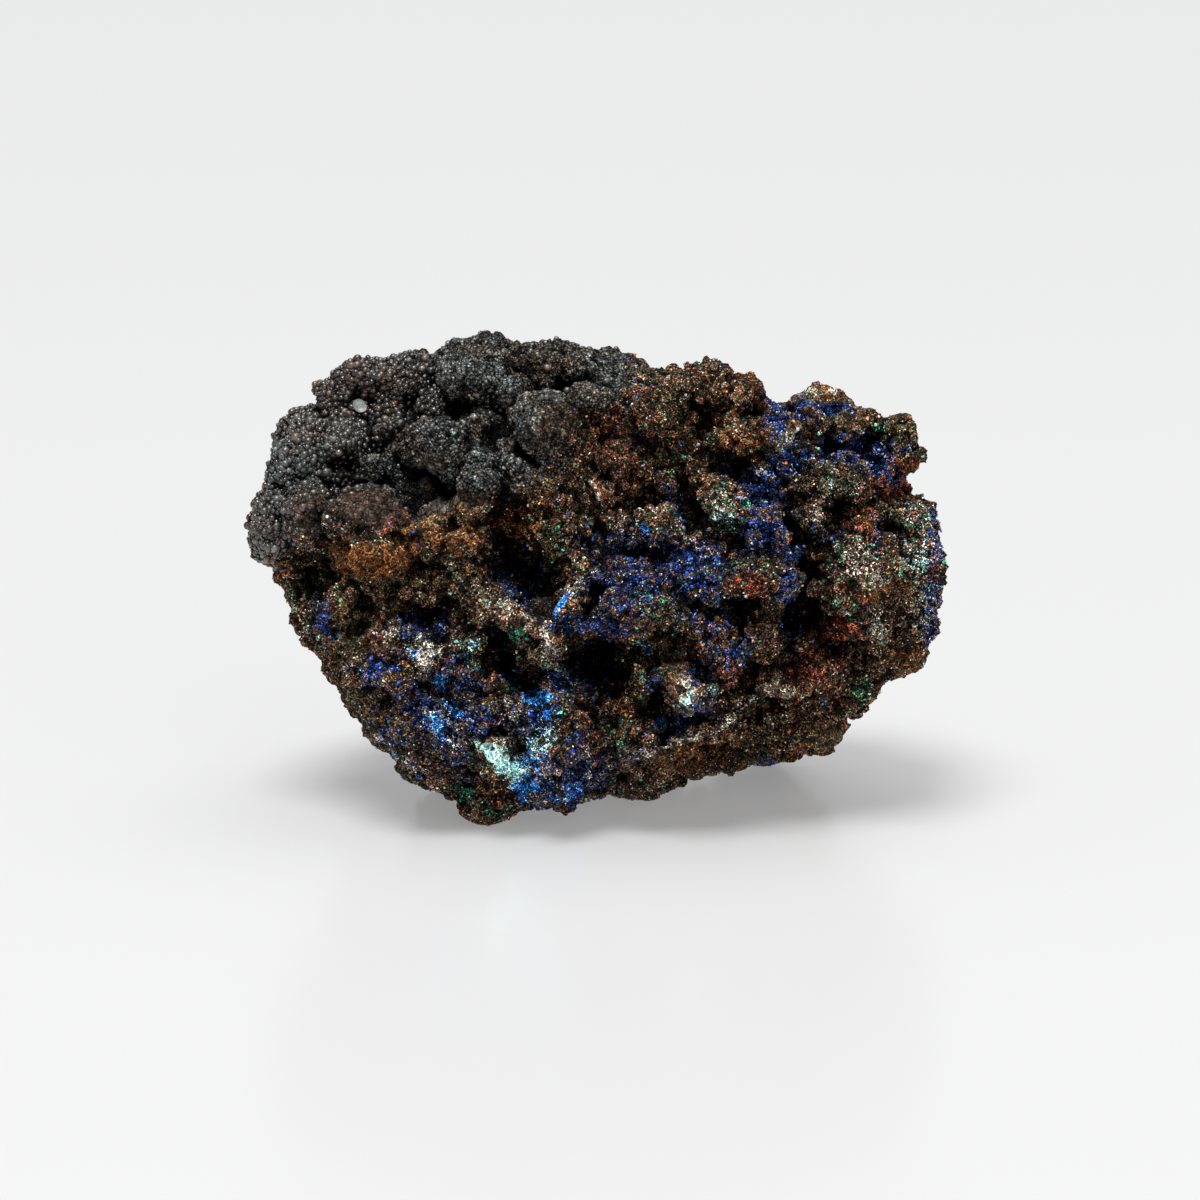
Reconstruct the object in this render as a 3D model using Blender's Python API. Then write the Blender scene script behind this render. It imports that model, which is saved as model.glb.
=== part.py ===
"""An azurite specimen: one lump of iron-oxide matrix, grown through with azurite, in metres, +Z up.

The lump is one intergrown piece, so it is one solid. Its broad face leans back from upright, and the
outline, knobs, ridges and hollows are placed in that leaning face plane, in millimetres: "across" runs
along +X, "up" runs up it from the ground at the foremost foot, and "out" runs forwards from the plane
of the outline.
Run it with: blender --background --python part.py
"""

import math
from typing import NamedTuple

import bmesh
import bpy
import numpy as np
from mathutils import Vector, noise

MM = 0.001

# Driving dimensions, in millimetres and degrees.
LEAN = 12.0  # how far the face plane leans back
MIDDLE = (0.0, 25.0)  # across, up: the point that the outline is measured round
SET_BACK = 8.0  # how far the outline lies behind the foremost place where the lump touches the ground
DEPTH_FRONT = 14.5  # from the face plane to the front of the lump
DEPTH_BACK = 20.5  # from the face plane to the back of the lump
FULLNESS = 0.86  # 1 is an ellipsoid, less is squarer
SMOOTH_ARC = 14.0  # degrees over which the outline is evened out away from its rim
FIT_ARC = 1.5  # degrees over which the finished rim is fitted to the outline
RIM_SHARE = 0.30  # how far round from the rim the outline's small bumps reach
RIM_RELIEF = 0.8  # how much of the surface relief is left on the rim itself
FOOT_CUT = 0.5  # how much is rubbed off the lowest points, which leaves the faces that it rests on
CLEARANCE = 1.3  # the underside is held up about this far between the feet

BALL_SUBDIVISIONS = 7
REMESH_VOXEL = 0.7
TRIANGLES = 9400

# The outline of the lump in the face plane, round from the left end over the top: (across, up).
OUTLINE = (
    (-34.4, 29.0), (-33.7, 32.5), (-31.9, 33.8), (-31.7, 39.5), (-28.2, 40.7), (-28.2, 44.0),
    (-25.5, 44.7), (-23.0, 46.5), (-17.2, 46.7), (-13.0, 48.5), (-8.0, 47.9), (-1.5, 47.8),
    (4.0, 46.8), (6.0, 45.7), (11.0, 46.0), (15.0, 44.5), (16.5, 43.5), (20.0, 43.4),
    (23.5, 43.5), (25.8, 41.0), (30.0, 40.5), (32.1, 37.5), (31.7, 34.7), (33.2, 32.5),
    (34.4, 26.5), (33.7, 20.5), (31.8, 15.5), (29.0, 13.5), (25.3, 11.0), (24.5, 8.0),
    (20.0, 6.2), (16.0, 6.8), (12.0, 5.5), (9.0, 4.2), (4.5, 2.9), (1.2, 3.2), (-4.0, 2.0),
    (-9.0, 1.5), (-12.5, 1.5), (-15.0, 2.8), (-20.0, 5.7), (-23.0, 8.3), (-25.5, 11.0),
    (-26.8, 13.5), (-28.8, 18.0), (-31.0, 21.8), (-33.0, 25.5),
)


class Swelling(NamedTuple):
    """A broad rise or fall of the surface. Sizes are half lengths, and turn is degrees from across."""

    across: float
    up: float
    length: float
    width: float
    height: float
    turn: float = 0.0


class Knob(NamedTuple):
    """A round lump or a ridge with a crease around its foot. Sizes are half lengths."""

    across: float
    up: float
    length: float
    width: float
    height: float
    turn: float = 0.0


class Hollow(NamedTuple):
    """A pit or a cleft. Sizes are half lengths, and depth is how far its floor lies down."""

    across: float
    up: float
    length: float
    width: float
    depth: float
    turn: float = 0.0


FRONT_SWELLINGS = (
    Swelling(-22.0, 40.0, 16.0, 10.0, -6.0, -15.0),  # the crust falls away to the upper left
    Swelling(-8.0, 44.0, 16.0, 6.0, -3.0),
    Swelling(-22.0, 29.0, 11.0, 4.0, 3.0, -5.0),  # the brow under the crust
    Swelling(-12.0, 34.0, 9.0, 5.0, 2.5),
    Swelling(-9.0, 8.0, 11.0, 9.0, 4.5, -25.0),  # the toe at the lower left, the nearest part
    Swelling(-18.0, 14.0, 9.0, 9.0, 2.0, -45.0),
    Swelling(5.0, 21.0, 13.0, 10.0, 2.0),
    Swelling(14.0, 27.0, 9.0, 12.0, 2.0),
    Swelling(13.0, 6.0, 14.0, 4.0, -4.0, 15.0),  # the undercut at the lower right
    Swelling(25.0, 13.0, 10.0, 4.0, -3.5, 25.0),
    Swelling(26.0, 25.0, 8.0, 9.0, 3.0),
)

FRONT_KNOBS = (
    # The dark crust at the upper left.
    Knob(-12.0, 45.3, 4.6, 4.0, 3.4), Knob(-10.0, 42.6, 2.5, 2.0, 2.0),
    Knob(-20.0, 38.5, 4.6, 4.2, 3.4), Knob(-15.2, 37.3, 5.0, 4.8, 4.2),
    Knob(-5.0, 39.5, 4.6, 4.0, 3.0), Knob(-14.5, 31.6, 3.6, 2.2, 2.2),
    Knob(-31.0, 35.5, 3.0, 3.4, 2.6), Knob(-28.0, 38.0, 3.0, 3.0, 2.2),
    Knob(-26.5, 43.6, 2.8, 2.6, 2.0), Knob(-33.0, 29.5, 2.8, 4.0, 2.4),
    Knob(-20.0, 44.6, 4.2, 2.6, 2.0), Knob(-23.0, 42.0, 3.0, 2.4, 1.6),
    Knob(0.0, 45.0, 5.0, 3.0, 2.2), Knob(1.0, 40.5, 3.4, 2.8, 2.0), Knob(-3.2, 35.4, 3.6, 2.8, 2.4),
    # The brow and the columns that hang from it.
    Knob(-29.0, 30.5, 3.2, 4.0, 3.2), Knob(-23.0, 30.6, 4.0, 3.2, 3.0),
    Knob(-22.5, 26.5, 4.6, 3.2, 3.4), Knob(-16.8, 29.2, 3.4, 2.8, 2.6),
    Knob(-13.5, 28.0, 2.6, 2.8, 2.6), Knob(-9.0, 29.6, 1.6, 2.0, 1.6),
    Knob(-25.6, 21.4, 5.4, 2.0, 2.6, 80.0), Knob(-21.8, 21.0, 4.6, 1.9, 2.4, 80.0),
    Knob(-21.6, 18.8, 2.4, 2.2, 2.2), Knob(-29.4, 19.6, 5.0, 1.6, 1.8, 65.0),
    Knob(-16.4, 23.6, 4.4, 1.8, 2.6, 10.0),
    # The ridge and the toe at the lower left.
    Knob(-9.2, 21.2, 5.4, 1.9, 4.4, -27.0), Knob(-4.8, 17.4, 3.6, 1.7, 3.8, 95.0),
    Knob(-13.0, 17.4, 2.6, 2.6, 2.4), Knob(-22.2, 15.8, 2.8, 2.4, 2.2),
    Knob(-18.0, 16.6, 2.5, 3.2, 2.4), Knob(-18.0, 12.6, 2.5, 2.2, 2.0),
    Knob(-3.6, 12.2, 3.2, 1.5, 3.0, -56.0), Knob(-1.6, 9.0, 2.8, 1.5, 3.0, -56.0),
    Knob(-0.3, 5.2, 3.2, 1.5, 2.6, -80.0), Knob(-4.6, 8.4, 2.8, 2.4, 2.6),
    Knob(-10.4, 7.6, 3.6, 1.6, 2.2, -25.0), Knob(-5.4, 3.4, 4.4, 2.4, 2.2),
    Knob(-11.5, 2.4, 2.5, 2.8, 2.4), Knob(-17.0, 6.4, 3.4, 2.8, 2.0),
    Knob(-14.4, 10.2, 3.4, 1.8, 1.8, -35.0),
    # The middle of the face.
    Knob(-0.2, 33.0, 2.4, 1.2, 2.4, -60.0), Knob(2.2, 36.0, 2.3, 2.2, 2.2),
    Knob(1.5, 30.2, 1.7, 1.7, 1.7), Knob(5.2, 29.4, 2.0, 1.7, 1.9), Knob(-4.0, 28.6, 2.4, 4.6, 2.2),
    Knob(-2.4, 22.4, 2.8, 1.1, 2.2, 50.0), Knob(4.6, 22.4, 4.6, 3.8, 3.0),
    Knob(10.8, 25.2, 2.6, 3.2, 2.6), Knob(12.3, 32.0, 4.0, 1.7, 3.6, -53.0),
    Knob(16.6, 29.4, 2.3, 2.6, 2.6), Knob(15.6, 24.6, 4.0, 2.1, 3.0),
    Knob(11.0, 18.4, 4.2, 2.7, 2.4, -15.0), Knob(4.0, 14.6, 1.8, 2.3, 2.8),
    Knob(8.0, 14.4, 3.0, 1.2, 4.4, -70.0), Knob(2.2, 9.8, 2.4, 2.7, 3.0),
    Knob(10.3, 13.4, 1.6, 1.6, 1.8), Knob(18.0, 13.6, 2.8, 2.0, 3.0),
    Knob(15.6, 18.6, 2.2, 2.6, 2.2), Knob(7.0, 8.4, 3.8, 1.2, 3.8, 22.0),
    Knob(12.4, 11.2, 3.6, 1.1, 3.6, 38.0),
    # The boulders at the upper right.
    Knob(6.5, 41.5, 4.0, 3.6, 3.0), Knob(11.6, 44.0, 1.9, 2.8, 2.6),
    Knob(14.8, 43.0, 2.3, 2.8, 2.8), Knob(9.8, 37.6, 2.5, 2.4, 2.6),
    Knob(13.6, 38.4, 2.7, 2.4, 3.6), Knob(18.0, 39.0, 3.0, 1.6, 3.4, 35.0),
    Knob(22.0, 42.2, 3.8, 1.5, 2.2), Knob(21.4, 39.8, 1.9, 1.9, 2.4),
    Knob(25.0, 40.0, 2.3, 2.1, 2.6), Knob(28.6, 38.4, 2.1, 2.3, 2.4),
    Knob(31.4, 37.4, 1.6, 2.3, 1.8), Knob(23.8, 34.4, 4.0, 2.7, 3.4, -10.0),
    Knob(21.0, 31.0, 1.9, 1.7, 2.2), Knob(19.0, 34.8, 2.2, 1.6, 1.8),
    Knob(28.6, 33.4, 2.0, 2.6, 2.2),
    # The boulders at the right end and the ledges below them.
    Knob(25.5, 23.8, 4.0, 5.2, 4.4), Knob(31.4, 28.0, 2.5, 4.6, 3.2),
    Knob(32.6, 20.6, 1.7, 3.8, 1.8), Knob(28.4, 20.4, 1.1, 2.7, 2.6),
    Knob(30.4, 16.4, 2.3, 2.0, 2.6), Knob(26.2, 13.3, 2.6, 1.7, 2.4, 20.0),
    Knob(22.4, 15.2, 3.2, 1.7, 2.6, 15.0), Knob(22.6, 9.0, 2.7, 2.2, 2.6),
    Knob(20.0, 7.2, 2.2, 1.5, 2.2), Knob(5.0, 4.4, 3.4, 1.8, 2.0),
    Knob(13.0, 7.0, 3.0, 1.5, 1.8, 10.0),
)

FRONT_HOLLOWS = (
    Hollow(-22.5, 41.4, 6.0, 2.2, 2.6, 10.0), Hollow(-25.4, 36.0, 1.8, 1.5, 2.6),
    Hollow(-17.0, 34.0, 4.0, 0.9, 3.0, -28.0), Hollow(-11.0, 39.0, 1.6, 1.4, 2.6),
    Hollow(-8.0, 42.0, 4.2, 0.9, 2.2, -20.0), Hollow(-14.0, 33.6, 1.4, 0.9, 2.0),
    Hollow(-27.1, 30.0, 2.6, 0.9, 3.0, 90.0), Hollow(-15.1, 30.0, 1.0, 1.1, 2.6),
    Hollow(-9.2, 31.4, 1.8, 2.0, 4.4), Hollow(-9.6, 27.4, 1.7, 2.2, 5.0),
    Hollow(-7.6, 24.8, 3.0, 2.0, 6.0), Hollow(-29.0, 24.6, 1.9, 2.0, 3.0),
    Hollow(-17.6, 21.4, 1.7, 1.0, 3.0), Hollow(-23.7, 21.0, 4.4, 0.8, 2.6, 80.0),
    Hollow(-0.3, 15.6, 3.8, 2.8, 7.6), Hollow(1.7, 16.0, 1.7, 1.8, 4.4),
    Hollow(-2.4, 13.4, 1.7, 1.1, 3.6), Hollow(-1.0, 23.2, 1.8, 1.5, 4.0),
    Hollow(0.4, 19.0, 2.6, 1.0, 3.4, 15.0), Hollow(-5.0, 23.6, 2.0, 1.6, 4.0, 40.0),
    Hollow(8.8, 31.8, 3.2, 1.2, 5.0, -66.0), Hollow(5.6, 32.6, 1.3, 1.2, 3.4),
    Hollow(6.4, 26.8, 3.6, 0.9, 3.2, -10.0), Hollow(13.8, 35.9, 2.8, 1.0, 4.0, -6.0),
    Hollow(10.0, 40.6, 1.3, 1.2, 3.4), Hollow(16.4, 41.4, 1.3, 1.2, 2.6),
    Hollow(13.1, 44.2, 0.7, 2.2, 2.2), Hollow(20.8, 22.6, 1.7, 4.6, 7.0),
    Hollow(19.2, 29.3, 1.6, 1.5, 4.2), Hollow(23.6, 31.2, 1.6, 0.9, 3.2),
    Hollow(24.2, 18.3, 3.4, 1.1, 4.4), Hollow(14.2, 22.3, 2.6, 1.0, 4.0),
    Hollow(6.2, 13.4, 1.0, 2.2, 4.0), Hollow(-8.4, 15.2, 2.3, 1.6, 3.8),
    Hollow(-17.6, 14.7, 0.9, 0.8, 1.8), Hollow(-12.6, 13.6, 1.2, 0.9, 2.2),
    Hollow(-14.8, 12.4, 1.0, 0.9, 2.0), Hollow(-10.0, 10.6, 4.4, 0.8, 2.0, -30.0),
    Hollow(15.8, 11.2, 2.3, 1.2, 4.4, 25.0), Hollow(9.6, 7.2, 5.0, 1.1, 3.2, 20.0),
    Hollow(29.2, 24.6, 4.0, 0.8, 3.4, 85.0), Hollow(23.8, 37.9, 2.8, 0.9, 2.4),
    Hollow(30.2, 33.7, 1.7, 1.1, 2.6), Hollow(20.2, 37.2, 2.4, 0.9, 2.6, 75.0),
    Hollow(2.5, 4.3, 1.0, 0.9, 2.0), Hollow(18.2, 19.4, 0.9, 2.4, 3.0),
    Hollow(-6.6, 6.0, 2.8, 0.8, 1.8, -30.0), Hollow(17.6, 32.6, 1.2, 1.4, 2.6),
)

BACK_SWELLINGS = (
    Swelling(-14.0, 30.0, 15.0, 12.0, 3.0, 20.0),
    Swelling(17.0, 15.0, 14.0, 10.0, 3.5, -25.0),
    Swelling(14.0, 35.0, 12.0, 9.0, -4.5, -20.0),
    Swelling(-20.0, 12.0, 12.0, 8.0, -3.5, 30.0),
    Swelling(2.0, 9.0, 10.0, 7.0, 2.0),
)

BACK_KNOBS = (
    Knob(-18.0, 36.0, 5.0, 4.4, 3.2), Knob(-24.0, 28.0, 4.0, 5.2, 2.8),
    Knob(-9.0, 39.0, 5.2, 3.6, 2.6), Knob(-12.0, 27.0, 6.0, 5.0, 3.4, 20.0),
    Knob(-3.0, 33.0, 4.4, 4.8, 3.0), Knob(4.0, 40.0, 5.0, 3.2, 2.4),
    Knob(6.0, 27.0, 5.4, 4.2, 3.0, -25.0), Knob(13.0, 34.0, 4.2, 3.4, 2.8),
    Knob(21.0, 36.0, 4.0, 3.4, 2.6), Knob(24.0, 27.0, 4.2, 5.0, 3.2),
    Knob(15.0, 22.0, 5.0, 4.0, 3.2, 30.0), Knob(27.0, 17.0, 3.6, 4.4, 2.6),
    Knob(18.0, 12.0, 5.0, 3.6, 3.0, -15.0), Knob(7.0, 14.0, 4.6, 4.0, 3.0),
    Knob(-3.0, 19.0, 4.4, 5.4, 3.2, 15.0), Knob(-14.0, 15.0, 5.4, 4.0, 3.0, -20.0),
    Knob(-24.0, 17.0, 3.6, 5.0, 2.4), Knob(-8.0, 8.0, 4.4, 3.4, 2.6),
    Knob(-18.0, 7.0, 3.8, 2.8, 2.2), Knob(11.0, 6.0, 4.0, 2.8, 2.2),
    Knob(29.0, 23.0, 2.8, 3.8, 2.2),
)

BACK_HOLLOWS = (
    Hollow(-6.0, 25.0, 2.2, 3.0, 4.6, 10.0), Hollow(1.0, 24.0, 1.8, 3.2, 3.8),
    Hollow(-18.0, 22.0, 3.2, 1.6, 3.6, 20.0), Hollow(10.0, 20.0, 1.6, 2.6, 3.6),
    Hollow(19.0, 29.0, 2.8, 1.6, 4.0, -20.0), Hollow(-13.0, 34.0, 3.0, 1.2, 2.8, 12.0),
    Hollow(22.0, 19.0, 1.4, 3.2, 3.6, 15.0), Hollow(0.0, 11.0, 3.0, 1.4, 3.0),
    Hollow(-20.0, 11.0, 2.4, 1.6, 3.0), Hollow(12.0, 29.0, 2.0, 1.4, 3.0),
    Hollow(4.0, 35.0, 2.6, 1.2, 2.8, -15.0), Hollow(13.0, 10.0, 2.0, 1.2, 2.4),
)


class Foot(NamedTuple):
    """A low point that the lump stands on, placed along X and Y from the face plane's foot line."""

    across: float
    back: float
    radius: float
    drop: float


FEET = (
    Foot(-11.0, 3.0, 4.4, 3.0),
    Foot(4.0, 13.5, 4.4, 3.0),
    Foot(-15.0, 15.5, 4.4, 3.0),
    Foot(15.5, 26.5, 4.8, 6.0),
    Foot(-9.0, 27.0, 5.4, 7.0),
    Foot(5.0, 29.5, 5.0, 7.0),
)

# Rounded lumps of ever smaller size that cover the whole surface: cell size and height, in millimetres.
LUMP_OCTAVES = ((10.0, 3.0), (5.6, 2.8), (3.2, 1.4))
DENT_CELL = 12.0
DENT_DEPTH = 1.2


def bearings(offsets):
    """The direction of each offset (across, up) from the middle, in degrees."""
    return np.degrees(np.arctan2(offsets[:, 1], offsets[:, 0])) % 360


def at_bearing(table, bearing):
    """Looks up a table of 360 values, one a degree."""
    return np.interp(bearing, np.arange(360), table, period=360)


def evened_out(table, arc):
    """A table of 360 values averaged over a number of degrees."""
    degrees = np.arange(360)
    weights = np.exp(-0.5 * (np.minimum(degrees, 360 - degrees) / arc) ** 2)
    return np.real(np.fft.ifft(np.fft.fft(table) * np.fft.fft(weights / weights.sum())))


def outline_radii():
    """The outline as 360 radii round MIDDLE, one a degree."""
    spokes = np.array(OUTLINE) - np.array(MIDDLE)
    return np.interp(np.arange(360), bearings(spokes), np.linalg.norm(spokes, axis=1), period=360)


def rim_weight(directions):
    """1 on the rim of the lump, where the outline is, falling to 0 on its front and back."""
    return np.exp(-((directions[:, 2] / RIM_SHARE) ** 2))


def inflate(directions):
    """Unit vectors to points (across, up, out) on the plain lump, which fills the outline."""
    outline = outline_radii()
    bearing = bearings(directions)
    out = directions[:, 2]
    rim = rim_weight(directions)
    radius = rim * at_bearing(outline, bearing)
    radius += (1 - rim) * at_bearing(evened_out(outline, SMOOTH_ARC), bearing)
    radius *= np.hypot(directions[:, 0], directions[:, 1]) ** FULLNESS
    depth = np.where(out > 0, DEPTH_FRONT, DEPTH_BACK) * np.sign(out) * np.abs(out) ** FULLNESS
    turn = np.radians(bearing)
    return np.column_stack(
        (MIDDLE[0] + radius * np.cos(turn), MIDDLE[1] + radius * np.sin(turn), depth)
    )


def spot_on(points, feature, side):
    """The surface point where a feature sits: the outermost one on that side near its across and up."""
    off = np.hypot(points[:, 0] - feature.across, points[:, 1] - feature.up)
    facing = side * points[:, 2] > -0.5
    return points[np.argmin(np.where(facing, off, np.inf))]


def reach(points, centre, feature):
    """How far each point is from a feature's centre, where 1 is the feature's edge."""
    offset = points - centre
    turn = math.radians(feature.turn)
    along = offset[:, 0] * math.cos(turn) + offset[:, 1] * math.sin(turn)
    beside = offset[:, 1] * math.cos(turn) - offset[:, 0] * math.sin(turn)
    mean = math.sqrt(feature.length * feature.width)
    return np.sqrt(
        (along / feature.length) ** 2 + (beside / feature.width) ** 2 + (offset[:, 2] / mean / 1.6) ** 2
    )


def lumps(points, cell):
    """Packed round lumps, from 0 in the creases between them to 1 on their tops."""
    nearest = np.array([noise.voronoi(Vector(point / cell))[0][0] for point in points])
    return np.clip(1 - (nearest / 0.75) ** 2, 0, 1)


def relief(points, swellings, knobs, hollows, side):
    """How far the surface stands out from the plain lump because of one side's features."""
    height = np.zeros(len(points))
    for swelling in swellings:
        near = np.clip(1 - reach(points, spot_on(points, swelling, side), swelling) ** 2, 0, 1)
        height += swelling.height * near**1.5
    knobbed = np.zeros(len(points))
    for knob in knobs:
        near = np.clip(1 - reach(points, spot_on(points, knob, side), knob) ** 2, 0, 1)
        knobbed = np.maximum(knobbed, knob.height * near**0.5)
    sunk = np.zeros(len(points))
    for hollow in hollows:
        near = np.clip(1 - (reach(points, spot_on(points, hollow, side), hollow) / 1.25) ** 2, 0, 1)
        sunk = np.maximum(sunk, hollow.depth * near**0.55)
    return height + knobbed - sunk


def all_relief(points):
    """The placed features of both sides and the packed lumps that cover everything."""
    height = relief(points, FRONT_SWELLINGS, FRONT_KNOBS, FRONT_HOLLOWS, 1)
    height += relief(points, BACK_SWELLINGS, BACK_KNOBS, BACK_HOLLOWS, -1)
    for cell, high in LUMP_OCTAVES:
        height += high * (lumps(points, cell) - 0.5)
    dents = np.array([noise.noise(Vector(point / DENT_CELL)) for point in points])
    return height - DENT_DEPTH * np.clip(dents, 0, 1) * 2


def fit_outline(points, directions):
    """Draws the finished relief in or out round the rim, so that the lump fills the outline again."""
    offsets = points[:, :2] - np.array(MIDDLE)
    bearing = bearings(offsets)
    reached = np.zeros(360)
    np.maximum.at(reached, np.rint(bearing).astype(int) % 360, np.hypot(offsets[:, 0], offsets[:, 1]))
    ratio = evened_out(outline_radii() / reached, FIT_ARC)
    rim = rim_weight(directions)
    factor = rim * at_bearing(ratio, bearing)
    factor += (1 - rim) * at_bearing(evened_out(ratio, SMOOTH_ARC), bearing)
    return np.column_stack((np.array(MIDDLE) + offsets * factor[:, None], points[:, 2]))


def upright(points):
    """Face-plane points (across, up, out) as X, Y, Z, still in millimetres."""
    lean = math.radians(LEAN)
    across, up = points[:, 0], points[:, 1]
    out = points[:, 2] - SET_BACK
    return np.column_stack(
        (
            across,
            up * math.sin(lean) - out * math.cos(lean),
            up * math.cos(lean) + out * math.sin(lean),
        )
    )


def stand_on_feet(points):
    """Holds the underside clear of the ground, and draws it down to the ground round each foot."""
    low = np.minimum(points[:, 2] / CLEARANCE, 1)
    points[:, 2] = np.where(low < 1, CLEARANCE * np.exp(low - 1), points[:, 2])
    for foot in FEET:
        away = np.hypot(points[:, 0] - foot.across, points[:, 1] - foot.back) / foot.radius
        under = np.clip(1 - points[:, 2] / 12, 0, 1)
        near = np.clip(1 - away**2, 0, 1) * under
        points[:, 2] -= np.clip(points[:, 2] + FOOT_CUT, 0, foot.drop) * near**0.6
    return points


def sculpt(mesh):
    """Moves the vertices of a ball onto the surface of the lump."""
    count = len(mesh.vertices)
    flat = np.empty(count * 3)
    mesh.vertices.foreach_get("co", flat)
    directions = flat.reshape(-1, 3)
    directions /= np.linalg.norm(directions, axis=1)[:, None]
    points = inflate(directions)
    mesh.vertices.foreach_set("co", points.ravel())
    mesh.update()
    normals = np.empty(count * 3)
    mesh.vertices.foreach_get("normal", normals)
    normals = normals.reshape(-1, 3)
    rim = np.exp(-((directions[:, 2] / 0.22) ** 2))
    height = all_relief(points) * (1 - (1 - RIM_RELIEF) * rim)
    points = fit_outline(points + normals * height[:, None], directions)
    points = stand_on_feet(upright(points))
    mesh.vertices.foreach_set("co", (points * MM).ravel())
    mesh.update()


def cut_feet_flat(mesh):
    """Cuts the lump off level at the ground and closes each cut with a flat face."""
    shape = bmesh.new()
    shape.from_mesh(mesh)
    geometry = shape.verts[:] + shape.edges[:] + shape.faces[:]
    bmesh.ops.bisect_plane(
        shape, geom=geometry, plane_co=(0, 0, 0), plane_no=(0, 0, -1), clear_outer=True
    )
    rims = [edge for edge in shape.edges if edge.is_boundary]
    bmesh.ops.triangle_fill(shape, use_beauty=True, edges=rims, normal=(0, 0, -1))
    bmesh.ops.recalc_face_normals(shape, faces=shape.faces)
    shape.to_mesh(mesh)
    shape.free()


def put_origin_under_middle(mesh):
    """Moves the mesh so that the origin is under the middle of its box, on the ground."""
    corners = np.empty(len(mesh.vertices) * 3)
    mesh.vertices.foreach_get("co", corners)
    corners = corners.reshape(-1, 3)
    middle = (corners.min(axis=0) + corners.max(axis=0)) / 2
    corners -= (middle[0], middle[1], corners[:, 2].min())
    mesh.vertices.foreach_set("co", corners.ravel())
    mesh.update()
    print("origin moved by", [round(float(value) / MM, 2) for value in middle[:2]])


def iron_matrix():
    """Dark brown iron-oxide rock."""
    material = bpy.data.materials.new("iron_matrix")
    material.use_nodes = True
    shader = material.node_tree.nodes["Principled BSDF"]
    shader.inputs["Base Color"].default_value = (0.07, 0.05, 0.04, 1)
    shader.inputs["Roughness"].default_value = 0.75
    shader.inputs["Metallic"].default_value = 0.0
    return material


def evaluated_mesh(body):
    """The body's mesh with its modifiers applied."""
    graph = bpy.context.evaluated_depsgraph_get()
    return bpy.data.meshes.new_from_object(body.evaluated_get(graph))


def azurite_specimen():
    """The whole lump, as one closed faceted solid."""
    bpy.ops.mesh.primitive_ico_sphere_add(subdivisions=BALL_SUBDIVISIONS, radius=1)
    body = bpy.context.object
    body.name = "azurite_specimen"
    sculpt(body.data)
    remesh = body.modifiers.new("even_out", "REMESH")
    remesh.mode = "VOXEL"
    remesh.voxel_size = REMESH_VOXEL * MM
    fine = evaluated_mesh(body)
    fine.calc_loop_triangles()
    decimate = body.modifiers.new("facets", "DECIMATE")
    decimate.ratio = TRIANGLES / len(fine.loop_triangles)
    decimate.use_collapse_triangulate = True
    body.data = evaluated_mesh(body)
    body.modifiers.clear()
    cut_feet_flat(body.data)
    put_origin_under_middle(body.data)
    body.data.materials.append(iron_matrix())
    body.data.shade_smooth()
    return body


def main():
    """Clears the scene and builds the specimen."""
    for leftover in list(bpy.data.objects):
        bpy.data.objects.remove(leftover)
    azurite_specimen()


main()
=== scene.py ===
"""The looks of the azurite specimen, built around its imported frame.

The lump is a copy of the frame's solid, carved finer, and it is crusted with separate closed crystals, grains
and beads. Places on the lump are given in the face plane, in millimetres: "across" runs to the right, "up" runs
up the leaning face from the ground at the foremost foot, and "out" runs towards the viewer of that face.
"""

import logging
import math
from dataclasses import dataclass, field
from enum import Enum
from typing import NamedTuple

import bmesh
import bpy
import numpy as np
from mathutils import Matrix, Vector, noise
from mathutils.bvhtree import BVHTree


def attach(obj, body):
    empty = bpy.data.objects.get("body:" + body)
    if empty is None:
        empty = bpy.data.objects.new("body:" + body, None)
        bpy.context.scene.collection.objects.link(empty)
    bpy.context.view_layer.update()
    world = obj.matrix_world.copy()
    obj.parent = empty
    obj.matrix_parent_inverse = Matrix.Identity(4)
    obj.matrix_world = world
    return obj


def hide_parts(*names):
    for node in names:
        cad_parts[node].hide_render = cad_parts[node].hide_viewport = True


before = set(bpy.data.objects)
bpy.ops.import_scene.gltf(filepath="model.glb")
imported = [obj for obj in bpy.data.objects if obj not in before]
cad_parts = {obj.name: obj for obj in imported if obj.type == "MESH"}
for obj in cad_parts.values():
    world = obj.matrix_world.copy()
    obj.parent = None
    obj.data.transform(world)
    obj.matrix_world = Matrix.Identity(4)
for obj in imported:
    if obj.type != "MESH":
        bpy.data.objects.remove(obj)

LOG = logging.getLogger("azurite_specimen")
MM = 0.001
SOLID = "azurite_specimen"
BODY = "root"
NOISE_SEED = 1  # noise.noise_vector starts from the time of day where no seed is set


class Seed:
    """Numbers that set the uses of one noise apart from each other."""

    RAGGED = (1.0, 2.0)
    HIDDEN = 3.0
    CRUST_BEHIND = 11.0
    CLUSTERS = 21.0
    RUST = 22.0
    WANDER = (31.0, 32.0)
    BEAD_TINT = 41.0
    CALM = 51.0
    BEADED = 53.0
    MINERAL_TONE = 60.0
    ROCK_TONE = 61.0
    WINNER = 62.0
    AZURITE_TONE = 63.0
    WARMTH = 71.0


class Mineral(Enum):
    """The minerals that show on the lump. The value is the name of the lump's mask attribute."""

    CRUST = "crust"
    AZURITE = "azurite"
    SKY = "sky_blue"
    MALACHITE = "malachite"
    CHRYSOCOLLA = "chrysocolla"
    LIMONITE = "limonite"
    HEMATITE = "hematite"
    OLIVE = "olive"
    PALE = "pale"


class Patch(NamedTuple):
    """Where a mineral shows on the front, in millimetres: half sizes, and turn in degrees from across."""

    across: float
    up: float
    length: float
    width: float
    turn: float = 0.0
    strength: float = 1.0


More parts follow.
